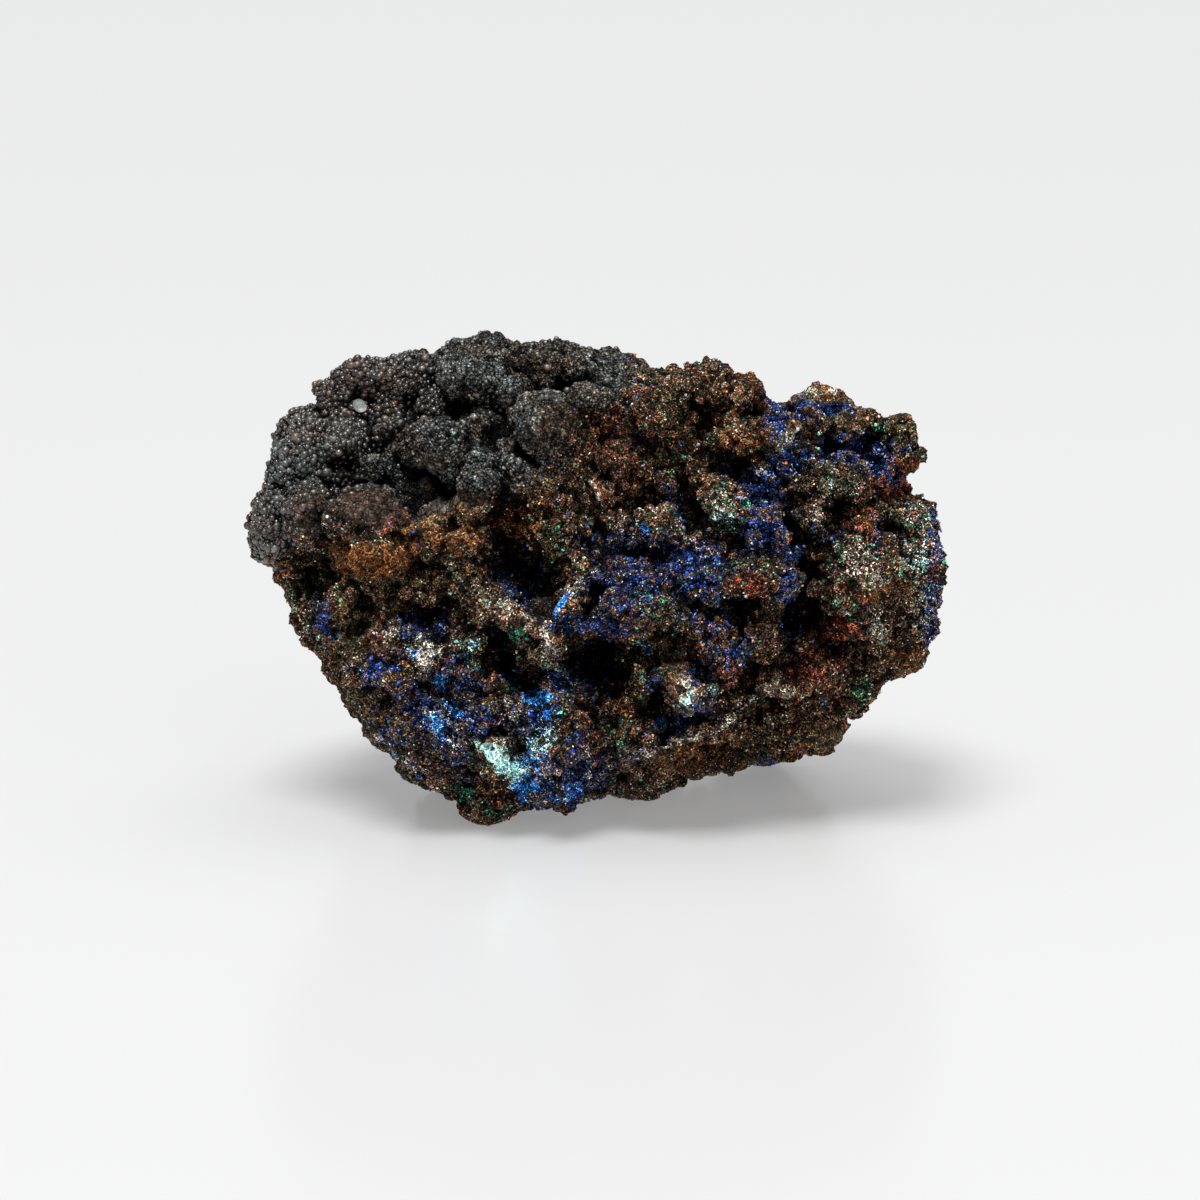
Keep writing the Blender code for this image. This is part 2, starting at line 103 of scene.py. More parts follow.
def patch_table(*rows: tuple[float, ...]) -> tuple[Patch, ...]:
    """Patches from rows of their plain numbers."""
    return tuple(Patch(*row) for row in rows)


CRUST_OUTLINE = (
    (-36.0, 28.0), (-34.0, 42.0), (-28.0, 50.0), (-10.0, 52.0), (2.0, 50.0), (4.5, 46.0), (4.2, 42.5),
    (-1.0, 40.5), (-2.4, 37.0), (-5.0, 34.6), (-9.0, 33.0), (-11.0, 31.6), (-15.5, 31.0), (-18.5, 30.4),
    (-20.5, 29.6), (-25.2, 28.9), (-27.0, 29.2), (-28.6, 28.0), (-31.0, 28.4), (-32.4, 26.0), (-33.2, 24.0),
    (-36.0, 24.0),
)

PATCHES: dict[Mineral, tuple[Patch, ...]] = {
    Mineral.AZURITE: patch_table(
        # the middle
        (5, 27.4, 6.5, 2.4, -8, 0.9), (9, 25.6, 5, 3, -20), (2.4, 23.4, 4, 3, 0, 0.9),
        (7.3, 32.4, 2.4, 0.9, -50), (-7.6, 24.4, 2.4, 2.6, 0, 0.9), (-0.6, 19.8, 5.2, 1.2, -8, 0.9),
        (-2.6, 14.4, 3.2, 1.8, -25, 0.9), (5.6, 14.6, 0.9, 1.2, 0, 0.9), (9.6, 15, 1.2, 1.1, 0, 0.8),
        (8, 10.6, 3.6, 1.4, 22, 0.9), (12.6, 17.4, 2.6, 2, 0, 0.7), (11.4, 21, 3, 2.6, -30, 0.6),
        # the upper right
        (16.4, 29.2, 2.6, 2.6, 0, 1.05), (16.4, 33.4, 2.6, 2.2, 0, 0.95), (13.6, 35.6, 2.4, 0.9, -18),
        (18.6, 36.6, 2.8, 1.6, 20), (17.6, 40.6, 0.9, 2.6, 0, 1.05), (20.6, 41.4, 4, 0.9),
        (24, 37.6, 3.6, 1.6, 0, 1.05), (27.6, 36.4, 1.8, 2), (29.2, 35, 1, 1.4, 0, 0.9),
        (29.4, 37.8, 1.2, 1.2, 0, 0.9), (19, 24.4, 1.2, 7, 0, 0.9), (33.6, 29.4, 1, 4.6, 0, 0.9),
        (33.4, 21.4, 1.4, 3.6, 0, 0.9), (27.6, 28.4, 0.8, 3, 0, 0.6), (22.6, 29, 1.4, 1, 0, 0.6),
        # the skyline
        (-2.4, 47, 2.6, 0.8, 0, 1.1), (1.8, 46.6, 1.2, 0.7, 0, 0.9),
        # the lower left
        (-27.6, 20.7, 0.9, 2.6, 15, 0.95), (-22.2, 15.7, 2.6, 1.5, 0, 0.82), (-17.4, 19.8, 3, 1.4, 0, 0.86),
        (-17.2, 11.2, 4.6, 1.6, -42, 0.99), (-14.2, 14.4, 3.4, 2.4, -30, 0.69), (-12, 10.6, 3, 1.8, -20, 0.73),
        (-6.6, 10.4, 3.2, 2.4, -20, 0.77), (-20, 9.4, 3.4, 2.2, -45, 0.52), (-14.4, 6, 3.2, 1.6, -40, 0.6),
        (-3.6, 4.2, 5, 2.8, 10, 0.9), (-2.4, 7.4, 1.4, 1.6, 0, 0.82), (-9, 14.6, 2, 1.4, 0, 0.69),
        (-19.6, 6, 2.6, 1.4, -40, 0.52), (3.6, 7, 2.6, 1.2, 10, 0.43), (0.4, 5.8, 1.2, 2, 0, 0.52),
    ),
    Mineral.SKY: patch_table(
        (-6, 12.9, 1.3, 0.8, 10, 1.6), (-5.5, 11.2, 0.6, 0.5, 0, 1.3), (-15.8, 14.3, 0.8, 0.6, 0, 0.9),
        (-18.9, 16.9, 0.6, 0.7, 0, 0.4), (-14.5, 11.2, 1, 0.6, -45, 0.8), (-3.6, 21.6, 0.5, 1.6, -25, 0.8),
        (-7.5, 3.7, 1, 1.2, 0, 0.8), (-6.8, 6.6, 1.8, 1.2, 0, 0.4), (6.4, 10, 0.5, 0.9, -20, 0.7),
        (4.6, 29.7, 0.4, 0.3, 0, 1.2), (9.5, 10.2, 0.3, 0.3, 0, 1.2), (-16.8, 10.2, 1.6, 0.5, -42, 0.5),
        (-13.9, 45.4, 0.7, 1, 0, 0.5), (4.9, 17.6, 0.5, 1, 30, 0.5), (-3.2, 3.6, 1.2, 1, 0, 0.4),
    ),
    Mineral.MALACHITE: patch_table(
        (-8.7, 18.8, 0.7, 0.6, 0, 1.2), (-7.6, 17.8, 2.8, 1.6, -27, 0.5), (-12.6, 16, 1.2, 1.2, 0, 0.6),
        (-13.5, 3.2, 0.9, 0.6, 0, 1.2), (-11.4, 1.6, 2, 1.3, 0, 0.6), (-9.4, 13.6, 0.8, 0.6, 0, 0.9),
        (26.2, 13.3, 1.5, 1, 0, 0.75), (24.6, 26.4, 2.6, 2.6, 0, 0.6), (23.4, 34, 3, 2.2, 0, 0.5),
        (12.8, 31.4, 2.6, 1.4, -52, 0.5), (14.2, 32.2, 0.4, 0.5, 0, 1.2), (13.8, 29.2, 0.4, 0.4, 0, 1.2),
        (13.4, 39, 2.6, 1.6, 0, 0.25), (31.4, 30.2, 2, 2.6, 0, 0.55), (-25.7, 38.3, 0.5, 0.3, 0, 1.2),
        (6.4, 36.4, 2, 1.2, 0, 0.4), (6.6, 21, 3.6, 1.4, -38, 0.4), (11.6, 21.4, 1.4, 0.8, -30, 0.7),
        (1.4, 9, 2, 2, 0, 0.35), (-5.6, 28.4, 2, 3, 0, 0.4), (24, 21.8, 2.2, 1.8, 0, 0.45),
        (27.4, 39.4, 1.4, 1.4, 0, 0.4), (15, 26.2, 2.6, 1, 0, 0.4), (-28.4, 30.4, 0.9, 0.8, 0, 0.6),
        (4.2, 14.6, 1, 1.2, 0, 0.4), (-29, 20.6, 0.7, 0.9, 0, 0.6), (30.4, 25, 1.4, 2, 0, 0.4),
    ),
    Mineral.CHRYSOCOLLA: patch_table(
        (-11.2, 7.3, 2.1, 0.7, -30, 1.4), (-9.4, 6.2, 1.6, 1, -30, 1.4), (-8.6, 5.2, 0.6, 1.1, 0, 1.2),
        (-6.4, 7.4, 1.4, 1, 0, 0.35), (8.9, 12.8, 0.7, 0.8, 0, 0.35), (-28.2, 30.3, 0.7, 0.5, 0, 0.4),
        (-14.1, 45.6, 0.9, 1, 0, 0.7), (13, 30.2, 1, 0.8, 0, 0.5), (11, 13.4, 0.5, 0.5, 0, 0.5),
        (-26.2, 30.4, 0.5, 0.3, 0, 0.4), (31.7, 26.2, 1.1, 1.2, 0, 0.6), (32.6, 23, 0.9, 1.4, 0, 0.25),
        (-5.8, 8.6, 1.4, 1.4, 0, 0.35), (-13, 18.2, 1.2, 0.8, 0, 0.4),
    ),
    Mineral.LIMONITE: patch_table(
        (-24, 26.7, 3.2, 1.7, -16, 1.1), (-20, 27.2, 2.8, 1.5, 10, 0.45), (-17.4, 29, 3, 1.8, 10, 0.3),
        (-13.6, 28.4, 1.9, 1.8, 0, 0.6), (-32.4, 25.6, 0.6, 1.2, 30, 0.9), (-27.2, 27, 0.6, 0.6),
        (-8, 30.6, 2.8, 2.2, 0, 0.7), (-31, 31.4, 0.7, 2.2, 15, 0.7), (9.8, 7, 5, 1.5, 14, 0.45),
        (-9, 11.2, 0.7, 0.6, 0, 1.2), (-10.7, 10, 0.6, 0.4, 0, 1.2), (-3.8, 9.8, 0.6, 0.5, 0, 0.9),
        (-7.2, 5, 0.7, 0.4), (-3.8, 5.4, 0.8, 0.6, 0, 0.7), (11.8, 18.5, 0.7, 0.5, 30, 1.3),
        (10.6, 17.4, 1, 0.35, -35, 1.3), (8.5, 18.5, 0.4, 0.4, 0, 1.1), (-0.8, 12.5, 0.7, 0.4),
        (0.2, 13.4, 0.8, 0.5, 0, 0.7), (-0.2, 33.4, 1.6, 0.6, -50, 0.8), (30.4, 23.6, 0.5, 1.2, 20, 1.4),
        (30.8, 36.1, 1.4, 0.8, 0, 1.1), (21.6, 43.2, 3.6, 0.9, 4, 0.35), (27.2, 24, 1.6, 1.6, 0, 0.7),
        (14, 41.8, 4.6, 3.4, 0, 0.35), (14, 38.4, 2.8, 2, 0, 0.4), (2.8, 29.6, 1.2, 0.9, 0, 0.5),
        (-17.6, 15.4, 1, 0.8, 0, 0.9), (-18.2, 14.3, 0.8, 0.9, 0, 0.6), (-22.9, 39.8, 0.7, 0.5, 0, 0.8),
        (-26.9, 44, 0.8, 0.9, 0, 0.8), (-2.2, 43.4, 2, 0.5, -10), (-4.6, 39.8, 1.6, 0.8, -40, 0.6),
        (30.6, 16.2, 1.8, 1.4, 0, 0.6), (20, 6.9, 1.4, 0.7, 0, 0.8), (26.4, 31.6, 1, 2, 30, 0.6),
        (-29.6, 43, 0.6, 0.7, 0, 0.6),
    ),
    Mineral.HEMATITE: patch_table(
        (2.6, 39.4, 5, 4, 0, 0.5), (2.2, 36, 2.4, 2.4, 0, 0.5), (-23.2, 31.4, 3.8, 2.4, 0, 0.35),
        (-28.8, 32, 2, 1.8, 0, 0.3), (-8, 28.6, 2, 1.6, 0, 0.5), (14.4, 24, 3.4, 0.9, -12, 0.8),
        (25.6, 30, 2.8, 2, 0, 0.7), (28.4, 33.8, 1.6, 1.4, 0, 0.9), (30.4, 33.8, 1.4, 1, 0, 1.2),
        (24.4, 19.6, 3, 1.1), (21.4, 15.6, 5, 2.2, 10, 0.7), (13.4, 15.6, 2.2, 1.4, 0, 0.7),
        (-4.7, 7.4, 1.2, 2, 0, 0.6), (-11.8, 2.6, 2.2, 1.6, 0, 0.5), (2, 11, 2.4, 1.6, 0, 0.5),
        (-23, 43.8, 4.6, 1.8, 0, 0.5), (-29.6, 38.6, 2.4, 1.6, 0, 0.45), (-20.6, 37.6, 2.2, 1.6, 0, 0.3),
        (-5.6, 39, 2.4, 1.8, 0, 0.4), (-21.4, 18.8, 1.6, 1.8, 0, 0.4), (11.6, 20, 2.2, 1.6, -20, 0.6),
        (33, 24, 1, 2.6, 0, 0.5), (-8.4, 20.4, 3.6, 1, -27, 0.35), (-0.8, 9.4, 1.4, 3.4, 20, 0.45),
        (-15, 33.2, 3, 1, 0, 0.4), (26.4, 21.6, 2, 1, 0, 0.4), (24.6, 25.4, 2.8, 2.4, 0, 0.55),
        (31, 28, 2, 3, 0, 0.35),
    ),
    Mineral.OLIVE: patch_table(
        (-19, 27, 3.6, 2, 0, 0.6), (-16.4, 29.4, 2.4, 1.4, 0, 0.6), (7, 41.4, 1.8, 1.8, 0, 0.8),
        (-29.2, 24, 1.7, 1.8, 0, 1.2), (-22.6, 8.6, 6.5, 2.2, -45, 0.6), (-4.8, 46.6, 0.9, 0.7, 0, 1.2),
        (-25.4, 21.4, 2.2, 3.2, 0, 0.55), (-21.8, 24, 1.6, 1.3, 0, 0.7), (-25.7, 18, 1.5, 1.2, 0, 0.8),
        (14.6, 42.7, 2, 2.4, 0, 0.4), (24.4, 40.6, 1.4, 1.4, 0, 0.6), (20.4, 8.4, 4, 2, 0, 0.4),
        (18.6, 21.4, 0.7, 1.6, 0, 0.8), (-30.9, 24.5, 0.4, 0.4, 0, 1.2), (29.8, 39.6, 1.2, 1.2, 0, 0.7),
        (2, 25.2, 0.4, 0.4, 0, 1.2), (13, 18.6, 0.9, 0.5, 0, 0.7), (-16.6, 24.6, 3.4, 1.4, 20, 0.4),
        (14, 8.6, 2.4, 1.4, 30, 0.5), (-5.4, 27.4, 2.2, 2.4, 0, 0.4),
    ),
    Mineral.PALE: patch_table(
        (-0.5, 33.2, 1.9, 0.6, -50), (-17.6, 17.2, 1.5, 1.9, 0, 1.4), (-8, 8.6, 4, 3, 0, 0.25),
        (-15, 9.6, 4, 1.6, -42, 0.25), (31.6, 29, 2.4, 3.6, 0, 0.22), (32.4, 20.4, 1.6, 3, 0, 0.3),
        (25.6, 26.4, 2.8, 2.8, 0, 0.2), (-6, 5.2, 3, 2.4, 0, 0.25), (9.4, 29.6, 5, 3, 0, 0.14),
        (13, 42, 4, 3, 0, 0.1), (-18, 14.6, 0.9, 0.9, 0, 0.7), (-5.2, 18.2, 0.6, 1.7, 0, 1.4),
        (21.8, 43.2, 3.4, 0.7, 4, 0.22), (23, 42.7, 1, 0.5, 0, 0.4), (8.7, 13.6, 0.8, 1.8, 15, 0.4),
        (10.7, 13.2, 1.1, 1.2, 0, 0.3), (10, 9.2, 2, 0.35, 20, 1.2), (12.6, 10.5, 1.8, 0.35, 32, 1.2),
        (14.8, 12.7, 1.8, 0.35, 48, 1.2), (6.2, 7.9, 2.6, 0.4, 18, 0.7), (-3.6, 22.4, 2.2, 0.4, 55),
        (-1.6, 24.4, 1.8, 0.35, 12, 0.9), (-8.6, 12.3, 1.3, 0.35), (-9, 21.4, 3.8, 0.8, -27, 0.45),
        (12.6, 31.4, 2.4, 1, -52, 0.3), (5.5, 30, 1.2, 1.1, 0, 0.3), (2.7, 29.6, 1.2, 1, 0, 0.35),
        (27.4, 24.6, 1.2, 1, 0, 0.4), (27.8, 19.8, 0.6, 1.6, 0, 0.9), (31.8, 26.4, 1.2, 1.3, 0, 0.5),
        (24.4, 26.6, 1.8, 1.6, 0, 0.15), (18.4, 38.6, 1.6, 0.9, 35, 0.3), (-20.6, 19.4, 1.4, 0.8, 30, 0.5),
        (-0.6, 10.2, 1.8, 0.35, -40, 0.8), (-1, 6, 0.4, 2, 0, 0.8), (18, 13.6, 1.4, 1.1, 0, 0.4),
        (21, 30.6, 1.2, 1, 0, 0.4), (24, 33.6, 2.6, 1.6, 0, 0.25), (16, 35.2, 1.4, 0.4, -28, 0.7),
        (-20, 7, 3.6, 0.3, -40, 0.6), (-31, 22, 2.4, 0.3, -55, 0.6), (-12.4, 46.2, 1.6, 0.6, 0, 0.5),
        (0.2, 4.2, 0.7, 1, 0, 0.7),
    ),
}


class Landform(NamedTuple):
    """A small knob or ridge on the front, or a hollow where the height is less than 0, in millimetres."""

    across: float
    up: float
    length: float
    width: float
    turn: float
    height: float


def landform_table(*rows: tuple[float, ...]) -> tuple[Landform, ...]:
    """Landforms from rows of their plain numbers."""
    return tuple(Landform(*row) for row in rows)


LANDFORMS = landform_table(
    # Crevices and pits in the dark crust
    (-17.6, 34.9, 2.4, 0.7, -40, -3.9), (-14.4, 33.2, 2, 0.7, -8, -3.4), (-11, 39, 1.1, 1, 0, -3),
    (-25.5, 36, 1.6, 1.2, 20, -3.2), (-23.4, 41, 3.4, 0.9, -60, -2.7), (-17.9, 40.6, 2.6, 0.8, -75, -2.7),
    (-12, 41.6, 4, 0.8, -8, -2.7), (-8, 37.6, 0.8, 2.6, 10, -2.4), (-29, 34.6, 3.2, 0.7, 30, -2.4),
    (-3.8, 43.4, 3.6, 0.7, 25, -2),
    # Lobes of the dark crust
    (-12.7, 44.8, 3.4, 1.8, 0, 3.8), (-9.5, 43, 1.7, 1.2, 0, 3.4), (-20.5, 39, 3, 2.2, 10, 4),
    (-16.1, 37.9, 2.8, 2.9, 0, 4.4), (-10.7, 39.9, 2.4, 2, 0, 3.4), (-5.4, 39.6, 2.8, 2.4, 0, 3.8),
    (-11.8, 34.7, 1.7, 1.4, 0, 2.5), (-25.7, 37.5, 2.4, 1.6, 0, 3.4), (-29.6, 38.9, 2.2, 1.4, 0, 3),
    (-22.9, 44.3, 3.2, 1.7, 0, 2.4), (-27.5, 43.2, 1.3, 1.3, 0, 2.5), (-12.1, 46.8, 4.2, 1, 0, 1.4),
    (-19.4, 43.8, 1.9, 1.4, 0, 2.5), (-6.6, 46.4, 2.8, 1, 0, 1.4), (-2.9, 45.4, 2.4, 1.2, -10, 2.5),
    (-29.6, 36.3, 2.4, 1.3, 0, 2.8), (-32.6, 32.9, 1.7, 1.9, 0, 2.8), (-32.7, 29.6, 1.8, 1.7, 0, 2.8),
    (-31.4, 35, 1.6, 1.2, 0, 2.2), (-8.6, 36.6, 1.6, 1.3, 0, 2.2), (-22.4, 35.6, 2, 1.3, 0, 2.2),
    (-27, 34.7, 1.8, 1, 0, 1.9), (-16, 42.2, 2.2, 1.1, 0, 2.2), (-24.6, 40.6, 2, 1.2, 0, 2.2),
    (-6.4, 43, 1.8, 1.2, 0, 2.2), (-0.8, 42.4, 2, 1.4, 0, 2.2),
    # Below the brow, at the left
    (-27.1, 29.8, 0.6, 2.4, 8, -3.6), (-15.1, 30, 1, 0.9, 0, -4), (-28.8, 31.2, 2.3, 2.8, 0, 1.9),
    (-23, 31.4, 3.4, 2.3, -5, 1.8), (-22, 26.6, 3.8, 2, -10, 1.5), (-13.8, 31.9, 3, 1.2, 0, 1.4),
    (-17.2, 35, 1.1, 1.9, -20, 1.2), (-13.4, 28.2, 1.6, 1.5, 0, 1.5), (-17.8, 29.4, 2, 1.5, 0, 1.2),
    (-22.8, 28.9, 4, 0.4, -6, -1.6), (-9.2, 27.2, 1.9, 4, 10, -2.8), (-8.2, 31.2, 1.5, 1, 0, 1.3),
    (-8, 28.9, 1.2, 1, 0, 1.3), (-29.2, 24.4, 1.5, 1.6, 0, -2.8), (-25.4, 21.6, 2, 3, 0, 1.3),
    (-21.8, 24, 1.5, 1.3, 0, 1.1), (-23, 21, 0.5, 2.4, -15, -2.2), (-21.4, 18.7, 1.7, 1.9, 0, 1.3),
    (-25.8, 18, 1.4, 1.2, 0, 1), (-22.2, 15.6, 2.3, 1.3, 0, 1), (-27, 20.4, 0.5, 2.8, 10, -1.4),
    (-16.8, 24.8, 3, 0.9, 20, 1.1), (-18.4, 22.4, 2, 1.4, -20, 1), (-17, 26.6, 2.4, 0.6, 10, -2),
    (-14.6, 22.6, 1.8, 0.8, -30, -2.2), (-32.6, 28.8, 2.4, 3, 0, 1.2), (-24.2, 26.8, 0.3, 1.8, 20, -1.8),
    (-20.6, 26.4, 0.3, 1.8, -15, -1.8), (-22.2, 25.7, 2.2, 0.3, -12, -1.6), (-18.6, 28.4, 0.3, 1.5, 10, -1.6),
    (-20.8, 21.6, 2.2, 0.4, -20, -1.4), (-12.4, 25.4, 1.6, 1.4, 0, 1),
    # The lower left lobe
    (-9, 21, 4.2, 1.2, -27, 1.7), (-5.2, 18.4, 0.8, 1.9, 5, 1.6), (-9.8, 19.4, 3.6, 0.5, -27, -1.6),
    (-7.4, 17.6, 2.4, 1.2, -27, 0.9), (-13, 18.2, 1.5, 1.1, 0, 1.2), (-12.8, 15.8, 1.5, 1.3, 0, 1.1),
    (-14.4, 19.9, 1.8, 0.5, 25, 0.9), (-16, 18.8, 0.7, 0.5, 0, -2.4), (-7.9, 14.9, 1.8, 1.1, -10, -3.2),
    (-17.6, 16.6, 1.3, 1.8, 0, 1), (-17.5, 14.3, 0.6, 0.45, 0, -1.8), (-15, 12.2, 0.8, 0.7, 0, -1.8),
    (-12.5, 13.1, 0.8, 0.7, 0, -1.8), (-8.6, 12.4, 1.6, 0.4, 0, 0.8), (-7.2, 10.3, 1, 0.35, 75, 1),
    (-10.6, 7, 2.8, 1, -30, 0.8), (-4.7, 7.5, 1.1, 2, 0, 1.1), (-1.8, 9.4, 2.2, 0.6, -45, 1.1),
    (-1, 6, 0.6, 2.4, 0, 1.1), (-11.6, 2.2, 2.2, 1.9, 0, 1), (-14.2, 5.8, 2.8, 0.8, -42, -2.2),
    (-8.8, 3.6, 0.5, 1.6, 20, -1.2), (-18.6, 8.2, 3.2, 0.6, -42, -1.6), (-20.2, 6.2, 3, 0.9, -40, 0.8),
    (-16.6, 11.4, 4.2, 0.9, -42, 0.9), (-22.6, 13.6, 2.6, 0.5, -50, -1.4), (-4.2, 3.4, 1.8, 1.3, 0, 0.9),
    (-6.8, 5, 1, 0.8, 0, 0.7), (-3.6, 12, 1.8, 0.6, -56, 0.9), (-2.8, 3, 0.8, 0.5, 0, -1.2),
    # The middle
    (-1, 22.6, 1.8, 1.3, 35, -3.6), (-3.3, 22, 2.6, 0.5, 57, 1.5), (-1.2, 24.5, 2, 0.5, 10, 1.1),
    (-0.6, 19.6, 4.8, 0.6, -8, 1.4), (-1.2, 16, 3.4, 1.3, -12, -2.6), (2.2, 15.2, 1.1, 1.5, 0, -1.6),
    (1, 17.6, 1.5, 1, 0, -2.4), (0.2, 16.6, 0.35, 1.8, 10, 1.6), (-0.8, 11.6, 1.1, 0.7, 0, -2.6),
    (3.9, 14.7, 1.3, 1.6, 0, 1.8), (5.5, 14.6, 1, 1.1, 0, 1), (5.4, 12.2, 0.9, 1.1, 0, -2.8),
    (8.3, 14.1, 2.9, 1.2, -72, 2.4), (10.7, 13.2, 1.2, 1.3, 0, 1.5), (9.2, 10.6, 2, 0.8, 20, -1.6),
    (2.2, 11.4, 2, 1.2, 10, 1.4), (1.5, 8.8, 1.7, 1.4, 0, 1.2), (4.6, 9.4, 1.4, 1.2, 0, 0.9),
    (6.9, 21.4, 3.6, 0.8, -38, 1.4), (7.5, 19.2, 1.2, 0.6, -20, -2.4), (11.6, 22.2, 2.2, 0.5, -35, 1.2),
    (11.9, 19.8, 2.2, 0.5, 5, 1), (11.4, 21, 1.6, 0.4, -20, -1.6), (13.6, 15.6, 1.5, 1.1, 0, 1.2),
    (11.2, 16.6, 0.9, 0.7, 0, -1.8), (3.6, 27.3, 4.4, 0.9, 0, -2.4), (4.5, 25.8, 1.1, 1.2, 0, 1.2),
    (2, 25, 1.1, 1, 0, 1.2), (9, 26.2, 1.3, 1.3, 0, 1.2), (6.8, 24.4, 1, 1, 0, 1),
    (4.6, 22.8, 0.8, 1.4, -20, 1), (1.8, 22.4, 1.4, 1.2, 0, 1), (-0.3, 33.3, 1.9, 0.8, -50, 1.5),
    (2.2, 36.2, 1.8, 1.7, 0, 1.5), (1.2, 38.6, 1.1, 0.6, 0, -1.8), (2.3, 33, 1.7, 1.6, 0, 1.3),
    (5.5, 31.9, 1.1, 0.6, 0, -2.6), (5.5, 30, 1.3, 1.3, 0, 1.4), (2.7, 29.6, 1.4, 1.1, 0, 1.3),
    (9.2, 31.8, 2.9, 0.9, -65, -3.4), (11.3, 33.4, 1.6, 1.6, 0, 1.3), (12.8, 31, 1.7, 1.4, 0, 1.5),
    (7.3, 33.4, 2.4, 0.6, -50, 0.9), (-5.2, 28, 1.6, 2.6, 10, 1.2), (-5, 24.4, 2, 1, 10, 1.2),
    (-7, 23, 1.4, 0.8, 0, -2), (5.4, 36.6, 1.8, 1.5, 0, 1.1), (5, 39.6, 1.4, 1.8, 20, 1.1),
    # The thin ridge along the lower edge, and what hangs below it
    (6.2, 7.9, 2.8, 0.5, 18, 1.3), (10, 9.3, 2, 0.5, 20, 1.4), (12.6, 10.6, 1.9, 0.5, 32, 1.4),
    (14.8, 12.8, 1.9, 0.5, 48, 1.4), (16.2, 11.3, 2.2, 1, 15, -3.4), (11, 7.6, 4, 0.7, 18, -2),
    (18, 13.5, 1.6, 1.3, 0, 1.5), (2.5, 4, 0.8, 0.6, 0, -1.6), (22.6, 8.4, 1.6, 1.2, 0, 1.1),
    (25.4, 8, 0.5, 1.4, 0, -1.6), (20, 10.4, 2.8, 0.6, 10, -1.8), (19.4, 8, 1.5, 1.1, 0, 0.9),
    (22, 13.4, 2.4, 1.2, 10, 1), (26.4, 13.4, 1.6, 1.2, 0, 0.9),
    # The upper right
    (14.7, 43, 2.1, 2.3, 0, 2), (9.6, 43.8, 2.6, 1.6, 0, 1.5), (12.4, 44.2, 0.4, 1.8, 0, -2),
    (10.8, 40.8, 0.9, 1.2, 0, -3.4), (14.6, 41, 0.9, 0.7, 0, -2.2), (13.4, 38.5, 2.5, 2, 0, 2),
    (9.2, 40.4, 1.2, 1.3, 0, 1), (18.2, 38.5, 2.1, 1.2, 35, 1.7), (17.1, 36.3, 1.4, 0.7, 0, 1),
    (13.7, 35.5, 1.8, 0.7, -18, -3.6), (15.4, 35.4, 1.8, 0.5, -28, 1.2), (21.5, 42.6, 3.8, 1.2, 4, 1),
    (21.4, 41.4, 3.6, 0.5, 0, -2), (21, 40, 1.4, 1.3, 0, 1.5), (24.5, 39.9, 2, 1.5, 0, 1.7),
    (28, 39.6, 1, 1.5, 0, 1.4), (30.1, 39.6, 1.1, 1.3, 0, 1.4), (31.5, 37.9, 1, 1.2, 0, 1.3),
    (30.6, 36.1, 1.4, 0.8, 0, 1.3), (20.9, 37.9, 0.9, 1, 0, 1.1), (23.3, 34.3, 2.8, 2.1, 0, 1.6),
    (25.4, 32.9, 1.1, 1.2, 0, 1.1), (20.9, 30.8, 1.4, 1.2, 0, 1.5), (28.6, 33.8, 1.2, 1.1, 0, 1.1),
    (30.4, 33.8, 1.2, 0.9, 0, -3), (23.4, 31.5, 0.9, 0.8, 0, -2.4), (19, 29.6, 0.7, 1.6, 0, -2.8),
    (16.5, 29, 1.9, 1.8, 0, 1.6), (14.3, 28.8, 0.8, 0.8, 0, -2), (16.4, 33.2, 1.8, 1.2, 0, 0.9),
    (20.4, 36.2, 2.4, 0.5, 15, -2), (27, 36.6, 0.6, 1.8, 0, -1.6),
    # The right
    (21, 22.8, 4.2, 1.3, 98, -5), (25.6, 30.2, 2.6, 1.8, 0, 1.6), (31.5, 30.2, 1.9, 2.2, 0, 1.5),
    (21.2, 27.4, 1.4, 1.3, 0, 1.2), (24.8, 26.8, 2.4, 1.9, 0, 1.7), (27.1, 24.5, 1.6, 1.3, 0, 1.7),
    (23.9, 23.2, 2, 1.8, 0, 1.6), (24.5, 19.7, 2.3, 0.9, 0, 1.4), (27.7, 19.8, 0.8, 1.7, 0, 1.4),
    (32.1, 26, 1.7, 1.6, 0, 1.4), (29.6, 22, 0.7, 3, -12, -2.4), (28.4, 28.2, 0.6, 2.6, 15, -2.2),
    (25, 18.2, 3.6, 0.6, 4, -2.4), (30.5, 16, 1.6, 1.2, 0, 1.1), (15.6, 24.2, 3.2, 0.9, -14, 1.5),
    (14.2, 22.5, 1.8, 0.9, -10, -3.4), (32.4, 21.4, 1.4, 1.8, 0, 0.9), (16, 18.6, 1.6, 1.4, 0, 1),
)

